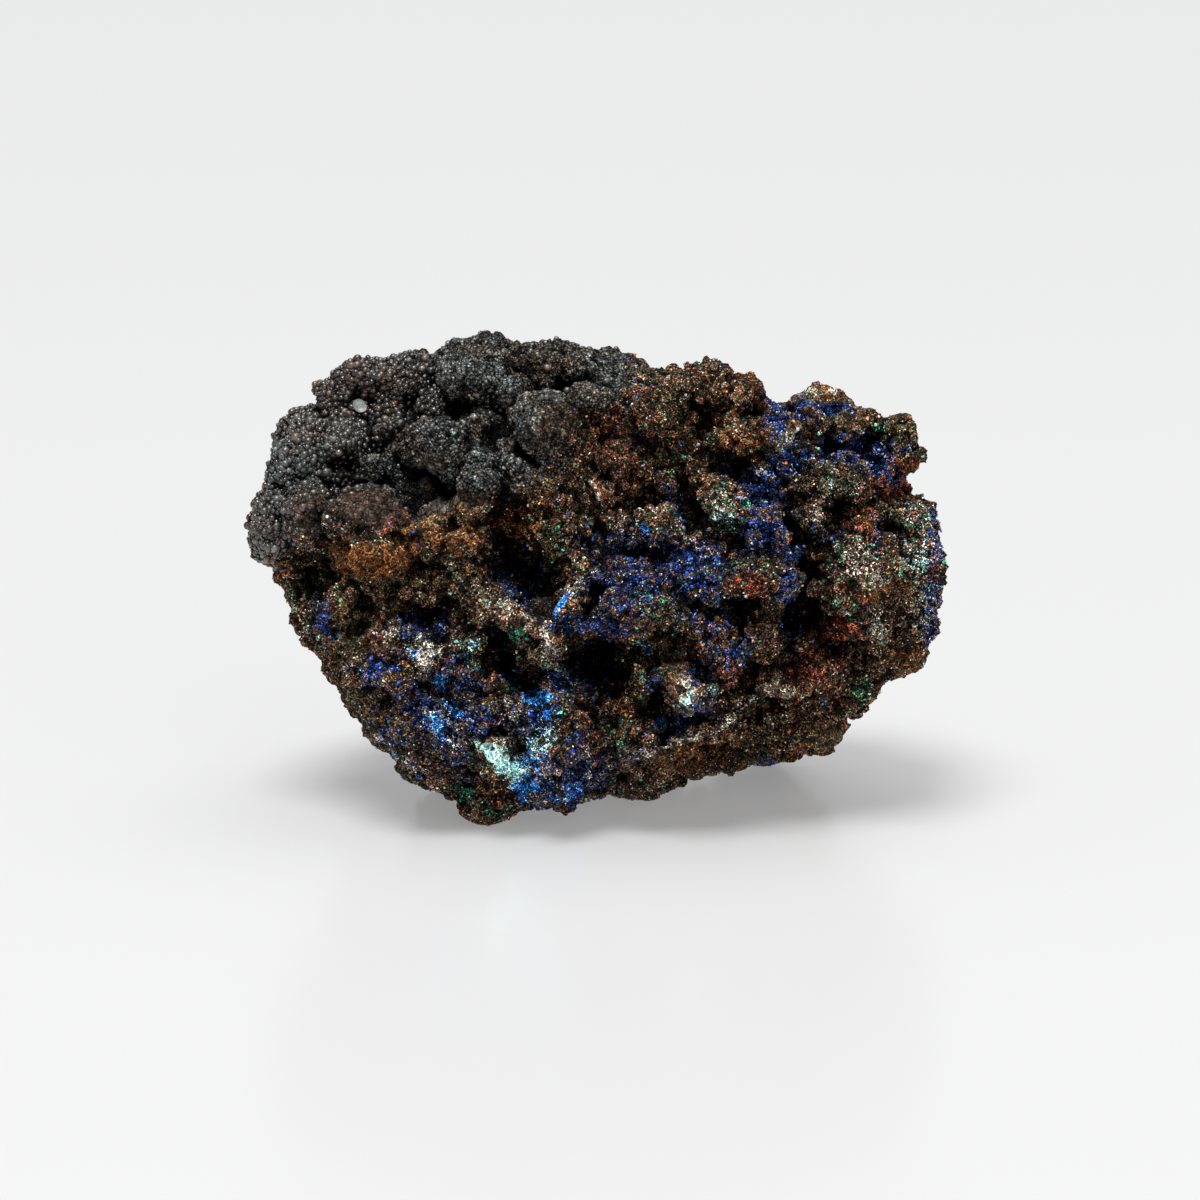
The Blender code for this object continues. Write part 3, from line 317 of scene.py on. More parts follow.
# Knobs and plates with a smooth skin and few grains on it.
CALM = patch_table(
    (22, 42.8, 4.2, 1.4, 4, 0.9), (-28.8, 31.4, 2.2, 2.2, 0, 0.8), (-23.2, 31.6, 3.6, 2, -5, 0.9),
    (-22, 26.6, 4.6, 2.4, -8, 0.65), (-14, 31.9, 3.2, 1.3, 0, 0.85), (-17.2, 35, 1.2, 2, -20, 0.9),
    (8.1, 14.2, 3.4, 1.4, -70, 1.1), (-9, 21, 4.4, 1, -27, 0.6), (-13.4, 28.2, 1.8, 1.6, 0, 0.7),
    (-18, 29.6, 2, 1.4, 0, 0.7), (27.4, 23.6, 1.8, 1.6, 0, 0.6), (18, 13.5, 1.6, 1.2, 0, 0.7),
    (-5, 18.4, 0.9, 1.8, 0, 0.8), (13.5, 43, 3, 2.4, 0, 0.5), (9, 6.8, 5, 1.4, 18, 0.4),
    (22.5, 8.4, 2.6, 1.4, 0, 0.6), (-24, 20, 3.4, 3.2, -45, 0.5), (30.6, 16.2, 1.6, 1.2, 0, 0.7),
    (25.2, 40.4, 1.4, 1.2, 0, 0.6), (-10.6, 6.9, 2.4, 1.1, -30, 0.8), (18.2, 38.6, 2, 1.6, 0, 0.5),
    (-23, 8.6, 6, 2.2, -45, 0.5), (-0.3, 33.2, 2.2, 0.9, -60, 0.7), (-5.4, 39.6, 2.6, 2.2, 0, 0.4),
)

# Where the crust is made of round beads, and where it is browner, or bluer where the strength is less than 0.
BEADED = patch_table(
    (-23.5, 43.6, 6.5, 3.2, 0, 1.2), (-29.4, 38, 3.6, 3.4), (-28.6, 34.6, 4, 1.6, 0, 0.8),
    (-32.8, 30, 2.4, 4.4), (-25.6, 38.4, 3, 2.6, 0, 0.7), (-10, 42.4, 2.4, 1.2, 0, 0.7),
)
WARM = patch_table(
    (-23, 31, 4.6, 2.4, 0, 1.2), (-28.8, 30.8, 2.6, 2.8), (-14, 32.3, 3.4, 1.4, 0, 0.9),
    (-23, 43.8, 5, 2.4, 0, 1.1), (-3, 39.6, 3.4, 3, 0, 0.7), (-6, 46, 3.4, 1.2, 0, 0.6),
    (-13.4, 45.4, 3, 1.8, 0, -0.7), (-10.6, 35.8, 3.6, 1.6, 20, -0.6), (-20, 34.6, 4, 1, 0, -0.4),
    (-30.4, 35.6, 3, 2.6, 0, -0.3), (-16.6, 35, 1.6, 2.2, 0, 0.4),
)

# How the minerals lie on the sides that the face doesn't show: noise cell in millimetres, threshold, share.
HIDDEN_NOISE: dict[Mineral, tuple[float, float, float]] = {
    Mineral.AZURITE: (13.0, 0.02, 1.0),
    Mineral.SKY: (7.0, 0.42, 0.6),
    Mineral.MALACHITE: (6.0, 0.16, 0.6),
    Mineral.CHRYSOCOLLA: (8.0, 0.44, 0.6),
    Mineral.LIMONITE: (10.0, 0.20, 0.9),
    Mineral.HEMATITE: (11.0, 0.12, 0.7),
    Mineral.OLIVE: (9.0, 0.22, 0.6),
    Mineral.PALE: (5.0, 0.30, 0.6),
}
HIDDEN_EDGE = 0.22  # how far above the threshold the noise gives the full share


class Settling(NamedTuple):
    """How a mineral's mask follows the relief: how much of it is kept on even ground, how much more with each
    millimetre of hollow, the least and the most kept, and how much is strewn over the rest of the rock."""

    kept: float
    per_hollow: float
    least: float
    most: float
    strewn: float


SETTLING: dict[Mineral, Settling] = {
    Mineral.AZURITE: Settling(0.74, 0.5, 0.2, 1.0, 0.015),
    Mineral.MALACHITE: Settling(0.75, 0.0, 0.75, 0.75, 0.14),
    Mineral.HEMATITE: Settling(1.0, 0.0, 1.0, 1.0, 0.16),
    Mineral.LIMONITE: Settling(0.8, -0.2, 0.4, 1.0, 0.05),
    Mineral.PALE: Settling(0.75, 0.0, 0.75, 0.75, 0.3),
    Mineral.OLIVE: Settling(0.8, 0.0, 0.8, 0.8, 0.08),
}


class HollowShade(NamedTuple):
    """Painted shade for hollows of one breadth, darker in them where shadow falls and lighter on what stands
    out: the rounds of evening out that find them, how much a millimetre of hollow takes away on the rock and
    how much more on the crust, the least light that is left on the rock and how much more on the crust, and the
    most, above 1 as painted light."""

    rounds: int
    rock: float
    crust: float
    least: float
    crust_least: float
    most: float


HOLLOW_SHADES = (
    HollowShade(5, 4.0, 0.0, 0.16, 0.0, 1.3),
    HollowShade(24, 0.6, 1.3, 0.25, -0.08, 2.0),
    HollowShade(110, 0.3, 1.15, 0.2, 0.0, 2.2),
)
# How the painted shade is made up: darker in hollows, creases and deep holes, lighter on what stands out.
NARROW_POWER = 1.2  # on the first and narrowest of them
WIDE_POWER = (1.4, 0.7)  # on how open a point lies: on the rock, and how much more on the crust
LIGHTNESS = (2.2, 2.6)  # the scale of the whole shade, in the same way
LIGHTEST = (4.6, 4.4)  # the most that it may be


@dataclass(frozen=True)
class FacePlane:
    """The leaning plane of the crystallised face, and how it is seen square on from in front."""

    lean: float = math.radians(12.0)
    foot_line: float = -15.75
    set_back: float = 8.0
    middle_up: float = 22.5
    viewing_distance: float = 575.0
    seen_width: float = 120.0

    def towards_viewer(self) -> np.ndarray:
        """The unit vector from the face to its viewer."""
        return np.array((0.0, -math.cos(self.lean), math.sin(self.lean)))

    def uphill(self) -> np.ndarray:
        """The unit vector up the face."""
        return np.array((0.0, math.sin(self.lean), math.cos(self.lean)))

    def target(self) -> np.ndarray:
        """The point that the viewer looks at, in millimetres."""
        foot = np.array((0.0, self.foot_line, 0.0))
        return foot + self.uphill() * self.middle_up - self.towards_viewer() * self.set_back

    def seen(self, points: np.ndarray) -> np.ndarray:
        """Where points appear on the face.

        Args:
            points: Points in the shared frame in millimetres, one a row.

        Returns:
            Across, up and out of each point, with perspective taken off.
        """
        offsets = points - self.target()
        out = offsets @ self.towards_viewer()
        nearer = self.viewing_distance / (self.viewing_distance - out)
        up = self.middle_up + offsets @ self.uphill() * nearer
        return np.column_stack((offsets[:, 0] * nearer, up, out))


def smooth_step(low: float, high: float, values: np.ndarray) -> np.ndarray:
    """0 below low and 1 above high, with a smooth ramp between them."""
    share = np.clip((values - low) / (high - low), 0, 1)
    return share * share * (3 - 2 * share)


def noise_at(points: np.ndarray, cell: float, seed: float) -> np.ndarray:
    """Smooth noise from about -1 to 1 at points in millimetres."""
    shift = Vector((seed * 17.3, seed * -9.1, seed * 5.7))
    return np.array([noise.noise(Vector(point) / cell + shift) for point in points])


class Cells(NamedTuple):
    """Rounded lumps packed side by side: each point's distance to its lump's middle, from 0, how much farther
    the next lump is, and a random value from 0 to 1 for the lump."""

    reach: np.ndarray
    spare: np.ndarray
    own: np.ndarray


def cells_at(points: np.ndarray, cell: float, seed: float, bend: float = 0.35) -> Cells:
    """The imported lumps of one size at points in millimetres.

    Args:
        points: One point a row.
        cell: The lumps' size.
        seed: Another number gives other lumps.
        bend: How far the lumps' outlines wander, as a share of their size.

    Returns:
        The lumps, with distances as shares of their size.
    """
    shift = Vector((seed * 13.7, seed * -7.9, seed * 4.3))
    found = np.empty((len(points), 3))
    for number, point in enumerate(points):
        place = Vector(point) / cell + shift
        distances, middles = noise.voronoi(place + bend * noise.noise_vector(place * 1.3))
        middle = middles[0]
        mixed = math.sin(middle.x * 12.9898 + middle.y * 78.233 + middle.z * 37.719) * 43758.5453
        found[number] = (distances[0], distances[1] - distances[0], mixed - math.floor(mixed))
    return Cells(*found.T)


def inside_outline(places: np.ndarray, outline: tuple[tuple[float, float], ...]) -> np.ndarray:
    """How far each place (across, up) lies inside a closed outline; less than 0 is outside."""
    corners = np.array(outline)
    nearest = np.full(len(places), np.inf)
    crossings = np.zeros(len(places), int)
    for start, end in zip(corners, np.roll(corners, -1, axis=0)):
        edge = end - start
        along = np.clip((places - start) @ edge / (edge @ edge), 0, 1)
        gap = places - start - along[:, None] * edge
        nearest = np.minimum(nearest, np.hypot(gap[:, 0], gap[:, 1]))
        if abs(edge[1]) > 1e-9:
            spans = (start[1] > places[:, 1]) != (end[1] > places[:, 1])
            crossing = start[0] + (places[:, 1] - start[1]) / edge[1] * edge[0]
            crossings += spans & (places[:, 0] < crossing)
    return np.where(crossings % 2 == 1, nearest, -nearest)


def patch_reach(
    places: np.ndarray, across: float, up: float, length: float, width: float, turn: float
) -> np.ndarray:
    """How far each place lies from an oval's middle: 1 on the oval's edge."""
    angle = math.radians(turn)
    right, rise = places[:, 0] - across, places[:, 1] - up
    along = right * math.cos(angle) + rise * math.sin(angle)
    beside = rise * math.cos(angle) - right * math.sin(angle)
    return np.hypot(along / length, beside / width)


@dataclass
class MineralMap:
    """Says how much of each mineral shows at a point of the lump."""

    face: FacePlane = field(default_factory=FacePlane)
    ragged: float = 1.1
    ragged_cell: float = 2.6
    crust_edge: float = 2.0
    front_depth: float = -6.0
    facing_weight: float = 6.0

    def masks(self, points: np.ndarray, normals: np.ndarray) -> dict[Mineral, np.ndarray]:
        """Every mineral's mask.

        Args:
            points: Points of the surface in millimetres.
            normals: The surface's outward direction at each point.

        Returns:
            A value from 0 to 1 for each mineral and point.
        """
        seen = self.face.seen(points)
        shift = self.ragged * np.column_stack(
            [noise_at(points, self.ragged_cell, seed) for seed in Seed.RAGGED]
        )
        places = seen[:, :2] + shift
        front = self.front_share(points, normals)
        found = {}
        for mineral, patches in PATCHES.items():
            placed = np.zeros(len(points))
            for patch in patches:
                placed = np.maximum(placed, self.patch_share(places, patch))
            found[mineral] = front * placed + (1 - front) * self.hidden_share(points, mineral)
        found[Mineral.CRUST] = self.crust_share(points, places, front)
        return found

    def settle(
        self, masks: dict[Mineral, np.ndarray], points: np.ndarray, hollow: np.ndarray
    ) -> dict[Mineral, np.ndarray]:
        """Lets the minerals follow the relief: azurite lies in hollows, tan and pale grains on what stands out.

        Args:
            masks: Every mineral's mask on the even surface.
            points: Points of the surface in millimetres.
            hollow: How deep each point lies below the evened-out surface, in millimetres.

        Returns:
            The masks, changed.
        """
        bare = 1 - masks[Mineral.CRUST]
        clusters = np.clip(0.5 + 0.9 * noise_at(points, 4.0, Seed.CLUSTERS), 0, 1)
        rust = np.clip(0.4 - noise_at(points, 3.0, Seed.RUST), 0, 1)
        standing = np.clip(0.05 - 0.12 * hollow, 0.005, 0.16)
        where = {
            Mineral.MALACHITE: clusters, Mineral.HEMATITE: rust, Mineral.LIMONITE: clusters,
            Mineral.PALE: standing * (1 - clusters),
        }
        settled = dict(masks)
        for mineral, rule in SETTLING.items():
            kept = np.clip(rule.kept + rule.per_hollow * hollow, rule.least, rule.most)
            settled[mineral] = masks[mineral] * kept + rule.strewn * where.get(mineral, 1.0) * bare
        return settled

    def front_share(self, points: np.ndarray, normals: np.ndarray) -> np.ndarray:
        """1 on the front that the face plane places, and 0 on the sides that it doesn't."""
        facing = normals @ self.face.towards_viewer()
        out = self.face.seen(points)[:, 2]
        return smooth_step(-9.0, -1.0, out + self.facing_weight * facing - self.front_depth)

    def skin_share(
        self, patches: tuple[Patch, ...], points: np.ndarray, normals: np.ndarray, seed: float
    ) -> np.ndarray:
        """How much one kind of skin covers each point: its patches in front, and noise on the other sides."""
        places = self.face.seen(points)[:, :2]
        placed = np.max([self.patch_share(places, patch) for patch in patches], axis=0)
        front = self.front_share(points, normals)
        return front * placed + (1 - front) * 0.8 * smooth_step(0.05, 0.3, noise_at(points, 8.0, seed))

    def calm_share(self, points: np.ndarray, normals: np.ndarray) -> np.ndarray:
        """How smooth the skin is at each point."""
        return self.skin_share(CALM, points, normals, Seed.CALM)

    def warmth(self, points: np.ndarray, normals: np.ndarray) -> np.ndarray:
        """How brown the crust is at each point, from bluish at 0 to brown at 1."""
        places = self.face.seen(points)[:, :2]
        placed = sum(self.patch_share(places, patch) for patch in WARM) * self.front_share(points, normals)
        return np.clip(0.42 + 0.9 * noise_at(points, 3.2, Seed.WARMTH) + placed, 0, 1)

    @staticmethod
    def patch_share(places: np.ndarray, patch: Patch) -> np.ndarray:
        """How much one patch covers each place."""
        reach = patch_reach(places, patch.across, patch.up, patch.length, patch.width, patch.turn)
        return patch.strength * (1 - smooth_step(0.45, 1.45, reach))

    @staticmethod
    def hidden_share(points: np.ndarray, mineral: Mineral) -> np.ndarray:
        """How much of a mineral shows on the sides that the face plane doesn't place."""
        cell, threshold, share = HIDDEN_NOISE[mineral]
        found = noise_at(points, cell, Seed.HIDDEN + len(mineral.value))
        return share * smooth_step(threshold, threshold + HIDDEN_EDGE, found)

    def crust_share(self, points: np.ndarray, places: np.ndarray, front: np.ndarray) -> np.ndarray:
        """How much the dark crust covers each point: its outline in front, and the top left behind."""
        placed = smooth_step(-self.crust_edge, self.crust_edge, inside_outline(places, CRUST_OUTLINE))
        leftness, rise = (6.0 - points[:, 0]) / 14, (points[:, 2] - 24.0) / 9
        reach = leftness + rise + noise_at(points, 9.0, Seed.CRUST_BEHIND) * 1.3
        return front * placed + (1 - front) * smooth_step(0.0, 0.8, reach)


def set_modifier(piece: bpy.types.Object, kind: str, **settings: object) -> None:
    """Adds a modifier with these settings to a piece and applies it."""
    modifier = piece.modifiers.new(kind.lower(), kind)
    for name, value in settings.items():
        setattr(modifier, name, value)
    bpy.ops.object.select_all(action="DESELECT")
    piece.select_set(True)
    bpy.context.view_layer.objects.active = piece
    bpy.ops.object.modifier_apply(modifier=modifier.name)


def read_points(mesh: bpy.types.Mesh, attribute: str = "co") -> np.ndarray:
    """A mesh's vertex positions in millimetres, or its vertex normals."""
    values = np.empty(len(mesh.vertices) * 3)
    mesh.vertices.foreach_get(attribute, values)
    return values.reshape(-1, 3) / (MM if attribute == "co" else 1)


def write_points(mesh: bpy.types.Mesh, points: np.ndarray) -> None:
    """Sets a mesh's vertex positions from millimetres."""
    mesh.vertices.foreach_set("co", (points * MM).ravel())
    mesh.update()


def write_values(mesh: bpy.types.Mesh, name: str, values: np.ndarray) -> None:
    """Keeps a value, or a colour where it has three columns, for each vertex as an attribute."""
    if values.ndim == 1:
        layer = mesh.attributes.new(name, "FLOAT", "POINT")
        layer.data.foreach_set("value", values.astype(np.float32))
    else:
        layer = mesh.attributes.new(name, "FLOAT_COLOR", "POINT")
        colours = np.column_stack((values, np.ones(len(values)))).astype(np.float32)
        layer.data.foreach_set("color", colours.ravel())


class Relief(NamedTuple):
    """One size of lumps in the surface, in millimetres: how high they rise from the creases between them, how
    much one stands above the next, how wide their edges are as a share of their size, plates to domes, and how
    much of them is kept on the front."""

    cell: float
    height: float
    step: float
    bevel: float
    front: float = 1.0


@dataclass
class Lump:
    """The specimen's rock: the frame's solid with its facets evened out and its surface carved finer."""

    minerals: MineralMap
    even_voxel: float = 0.6
    carve_voxel: float = 0.5
    final_voxel: float = 0.37
    most_triangles: int = 196_000
    hollow_share: float = 0.45
    knob_share: float = 0.8
    ragged: float = 0.7
    foot_height: float = 1.6
    crag: tuple[Relief, ...] = (Relief(4.4, 1.2, 1.4, 0.35, 0.15), Relief(2.4, 0.8, 1.2, 0.3))
    crust: tuple[Relief, ...] = (Relief(5.2, 1.33, 0.56, 0.5, 0.79), Relief(2.6, 1.5, 0.5, 0.5))
    crag_fine: tuple[Relief, ...] = (Relief(1.25, 0.5, 0.65, 0.3),)
    crust_fine: tuple[Relief, ...] = (Relief(1.1, 0.55, 0.15, 0.5),)

    def build(self) -> bpy.types.Object:
        """Makes the rock from the frame's solid and stores the minerals' masks on it."""
        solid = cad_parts[SOLID]
        rock = bpy.data.objects.new("rock", solid.data.copy())
        bpy.context.scene.collection.objects.link(rock)
        rock.data.materials.clear()
        self.merge(rock.data)
        set_modifier(rock, "SUBSURF", levels=1, render_levels=1)
        set_modifier(rock, "REMESH", mode="VOXEL", voxel_size=self.even_voxel * MM)
        self.form_land(rock.data)
        set_modifier(rock, "REMESH", mode="VOXEL", voxel_size=self.carve_voxel * MM)
        self.carve(rock.data, self.crag, self.crust, 1.0)
        set_modifier(rock, "REMESH", mode="VOXEL", voxel_size=self.final_voxel * MM)
        self.thin_behind(rock)
        self.carve(rock.data, self.crag_fine, self.crust_fine, 5.0)
        rock.data.shade_smooth()
        self.store_masks(rock.data)
        return rock

    @staticmethod
    def merge(mesh: bpy.types.Mesh) -> None:
        """Joins the loose triangles of a copied solid."""
        shape = bmesh.new()
        shape.from_mesh(mesh)
        bmesh.ops.remove_doubles(shape, verts=shape.verts, dist=1e-6)
        shape.to_mesh(mesh)
        shape.free()

    def thin_behind(self, rock: bpy.types.Object) -> None:
        """Takes triangles away from the sides that aren't the front, down to the most that it may have."""
        mesh = rock.data
        facing = read_points(mesh, "normal") @ self.minerals.face.towards_viewer()
        hidden = 1 - smooth_step(-0.3, 0.1, facing)
        group = rock.vertex_groups.new(name="behind")
        levels = 4
        for level in range(1, levels + 1):
            group.add(np.flatnonzero(np.ceil(hidden * levels) == level).tolist(), level / levels, "REPLACE")
        count = sum(len(face.vertices) - 2 for face in mesh.polygons)
        set_modifier(rock, "DECIMATE", ratio=min(1.0, self.most_triangles / count), vertex_group="behind")
        rock.vertex_groups.clear()

    def above_ground(self, points: np.ndarray) -> np.ndarray:
        """0 at the ground, so that the feet stay flat, and 1 above them."""
        return smooth_step(0.3, self.foot_height, points[:, 2])

    def push(self, mesh: bpy.types.Mesh, moves: np.ndarray) -> None:
        """Moves the points by these amounts, less near the ground, and never below it."""
        points = read_points(mesh)
        points += moves * self.above_ground(points)[:, None]
        points[:, 2] = np.maximum(points[:, 2], 0.0)
        write_points(mesh, points)

    def form_land(self, mesh: bpy.types.Mesh) -> None:
        """Adds the small knobs, ridges and hollows of the front."""
        points = read_points(mesh)
        normals = read_points(mesh, "normal")
        face = self.minerals.face
        seen = face.seen(points)
        facing = smooth_step(-0.05, 0.35, normals @ face.towards_viewer())
        wander = np.column_stack(
            [noise_at(points, 2.4, seed) + 0.6 * noise_at(points, 1.1, seed) for seed in Seed.WANDER]
        )
        places = seen[:, :2] + self.ragged * wander
        rise, sink = np.zeros(len(points)), np.zeros(len(points))
        for form in LANDFORMS:
            reach = patch_reach(places, form.across, form.up, form.length, form.width, form.turn)
            if form.height > 0:
                rise = np.maximum(rise, self.knob_share * form.height * np.sqrt(np.clip(1 - reach**2.4, 0, 1)))
            else:
                sink -= self.hollow_share * form.height * (1 - smooth_step(0.3, 1.25, reach))
        ways = normals + 0.8 * face.towards_viewer()
        ways /= np.linalg.norm(ways, axis=1)[:, None]
        self.push(mesh, ways * ((rise - sink) * facing)[:, None])

    def carve(
        self, mesh: bpy.types.Mesh, crag: tuple[Relief, ...], crust: tuple[Relief, ...], seed: float
    ) -> None:
        """Adds sizes of lumps to the craggy rock and to the crust."""
        points = read_points(mesh)
        normals = read_points(mesh, "normal")
        share = self.minerals.masks(points, normals)[Mineral.CRUST]
        placed = self.minerals.front_share(points, normals)
        calm = self.minerals.calm_share(points, normals)
        height = np.zeros(len(points))
        for reliefs, weight, base in ((crag, 1 - share, seed), (crust, share, seed + 50)):
            mine = np.flatnonzero(weight > 0.01)
            for number, relief in enumerate(reliefs):
                cells = cells_at(points[mine], relief.cell, base + number, 0.5 * relief.bevel)
                bevel = np.clip(cells.spare / relief.bevel, 0, 1)
                dome = np.sqrt(1 - (1 - bevel) ** 2) if relief.bevel > 0.4 else bevel
                rise = relief.height * (dome - 0.6) + relief.step * (cells.own - 0.5)
                size = weight[mine] * (1 - (1 - relief.front) * placed[mine])
                height[mine] += size * rise
        self.push(mesh, normals * (height * (1 - 0.7 * calm))[:, None])

    def store_masks(self, mesh: bpy.types.Mesh) -> None:
        """Keeps every mineral's mask, how calm, beaded and warm the skin is, and a painted shade made from how
        deep and how open each point lies, as attributes.
        """
        points = read_points(mesh)
        normals = read_points(mesh, "normal")
        hollows = [hollowness(mesh, hollow_shade.rounds) for hollow_shade in HOLLOW_SHADES]
        masks = self.minerals.settle(self.minerals.masks(points, normals), points, hollows[1])
        for mineral, share in masks.items():
            write_values(mesh, mineral.value, share)
        write_values(mesh, "calm", self.minerals.calm_share(points, normals))
        write_values(mesh, "beaded", self.minerals.skin_share(BEADED, points, normals, Seed.BEADED))
        write_values(mesh, "warmth", self.minerals.warmth(points, normals))
        write_values(mesh, "shade", self.shade(masks[Mineral.CRUST], hollows, openness(mesh)))

    @staticmethod
    def shade(crust: np.ndarray, hollows: list[np.ndarray], opened: np.ndarray) -> np.ndarray:
        """Painted shade for each point: darker in hollows, creases and deep holes where shadow falls, and
        lighter on knobs and lobes as painted light.

        Args:
            crust: The crust's mask.
            hollows: How deep each point lies, for each row of HOLLOW_SHADES.
            opened: How open each point lies, from 0 to 1.

        Returns:
            A factor on the colour for each point.
        """
        left = []
        for row, hollow in zip(HOLLOW_SHADES, hollows):
            least = row.least + row.crust_least * crust
            left.append(np.clip(1.0 - (row.rock + row.crust * crust) * hollow, least, row.most))
        narrow, lobed, broad = left
        # painted shade in deep holes, by how little round a point lies open
        wide = 0.34 + 0.95 * smooth_step(0.10, 0.8, opened)
        power, lightness, lightest = (rock + more * crust for rock, more in (WIDE_POWER, LIGHTNESS, LIGHTEST))
        return np.minimum(lightness * (wide**power * narrow**NARROW_POWER * lobed * broad), lightest)


def neighbour_means(mesh: bpy.types.Mesh, values: np.ndarray, rounds: int, share: float = 0.7) -> np.ndarray:
    """Values or points evened out along the mesh's edges, round by round."""
    ends = np.empty(len(mesh.edges) * 2, int)
    mesh.edges.foreach_get("vertices", ends)
    first, second = ends.reshape(-1, 2).T
    count = np.bincount(ends, minlength=len(values))
    even = values.reshape(len(values), -1).copy()
    for _ in range(rounds):
        for axis in range(even.shape[1]):
            column = even[:, axis]
            total = np.bincount(first, column[second], len(values))
            total += np.bincount(second, column[first], len(values))
            even[:, axis] = (1 - share) * column + share * total / count
    return even.reshape(values.shape)


def hollowness(mesh: bpy.types.Mesh, rounds: int) -> np.ndarray:
    """How far each point lies below the evened-out surface round it, in millimetres."""
    points = read_points(mesh)
    return np.einsum("ij,ij->i", neighbour_means(mesh, points, rounds) - points, read_points(mesh, "normal"))


def openness(mesh: bpy.types.Mesh, reach: float = 9.0, rays: int = 36) -> np.ndarray:
    """How much of what is round each point lies open, from 0 in a deep hole to 1."""
    points = read_points(mesh)
    normals = read_points(mesh, "normal")
    tree = BVHTree.FromPolygons(points.tolist(), [face.vertices[:] for face in mesh.polygons])
    turns = np.arange(rays) * math.pi * (3 - math.sqrt(5))
    rise = 1 - 2 * (np.arange(rays) + 0.5) / rays
    flat = np.sqrt(1 - rise * rise)
    ways = np.column_stack((flat * np.cos(turns), flat * np.sin(turns), rise))
    weights = normals @ ways.T
    starts = points + 0.06 * normals
    directions = [Vector(way) for way in ways]
    found = np.empty(len(points))
    for number, start in enumerate(starts):
        begin = Vector(start)
        free = total = 0.0
        for ray in np.flatnonzero(weights[number] > 0.08).tolist():
            weight = weights[number, ray]
            total += weight
            if tree.ray_cast(begin, directions[ray], reach)[0] is None:
                free += weight
        found[number] = free / total
    return neighbour_means(mesh, found, 1)


@dataclass(frozen=True)
class Palette:
    """The colours that a mineral's grains take, dark to light, in linear RGB."""

    colours: tuple[tuple[float, float, float], ...]

    def at(self, tone: np.ndarray) -> np.ndarray:
        """The colours at tones from 0 to 1, each between two neighbours of the palette."""
        place = tone * (len(self.colours) - 1)
        low = np.floor(place).astype(int)
        share = (place - low)[:, None]
        table = np.array(self.colours)
        return table[low] * (1 - share) + table[np.minimum(low + 1, len(table) - 1)] * share


ROCK_BROWN = Palette(
    (
        (0.003, 0.0025, 0.002), (0.009, 0.006, 0.0045), (0.029, 0.015, 0.009), (0.022, 0.024, 0.013),
        (0.078, 0.033, 0.016), (0.072, 0.050, 0.027), (0.165, 0.070, 0.030), (0.15, 0.135, 0.11),
        (0.31, 0.29, 0.245),
    )
)
PALETTES: dict[Mineral, Palette] = {
    mineral: Palette(colours)
    for mineral, colours in {
        Mineral.CRUST: (
            (0.003, 0.0025, 0.002), (0.007, 0.006, 0.005), (0.034, 0.029, 0.024), (0.070, 0.071, 0.065),
            (0.145, 0.155, 0.155),
        ),
        Mineral.AZURITE: (
            (0.002, 0.002, 0.005), (0.002, 0.004, 0.015), (0.002, 0.010, 0.046), (0.003, 0.020, 0.11),
            (0.007, 0.038, 0.21), (0.035, 0.10, 0.36), (0.23, 0.32, 0.54),
        ),
        Mineral.SKY: ((0.006, 0.04, 0.20), (0.02, 0.15, 0.50), (0.07, 0.36, 0.76), (0.34, 0.62, 0.82)),
        Mineral.MALACHITE: (
            (0.004, 0.016, 0.010), (0.010, 0.045, 0.027), (0.020, 0.17, 0.095), (0.17, 0.44, 0.32),
        ),
        Mineral.CHRYSOCOLLA: ((0.10, 0.25, 0.24), (0.25, 0.46, 0.42), (0.36, 0.55, 0.50), (0.48, 0.62, 0.58)),
        Mineral.LIMONITE: (
            (0.014, 0.005, 0.002), (0.070, 0.023, 0.006), (0.17, 0.061, 0.017), (0.30, 0.15, 0.07),
        ),
        Mineral.HEMATITE: (
            (0.012, 0.004, 0.003), (0.055, 0.013, 0.008), (0.19, 0.038, 0.017), (0.36, 0.12, 0.07),
        ),
        Mineral.OLIVE: (
            (0.006, 0.005, 0.003), (0.023, 0.020, 0.009), (0.062, 0.053, 0.024), (0.17, 0.16, 0.09),
        ),
        Mineral.PALE: ((0.06, 0.05, 0.04), (0.19, 0.165, 0.13), (0.40, 0.37, 0.31), (0.72, 0.72, 0.67)),
    }.items()
}


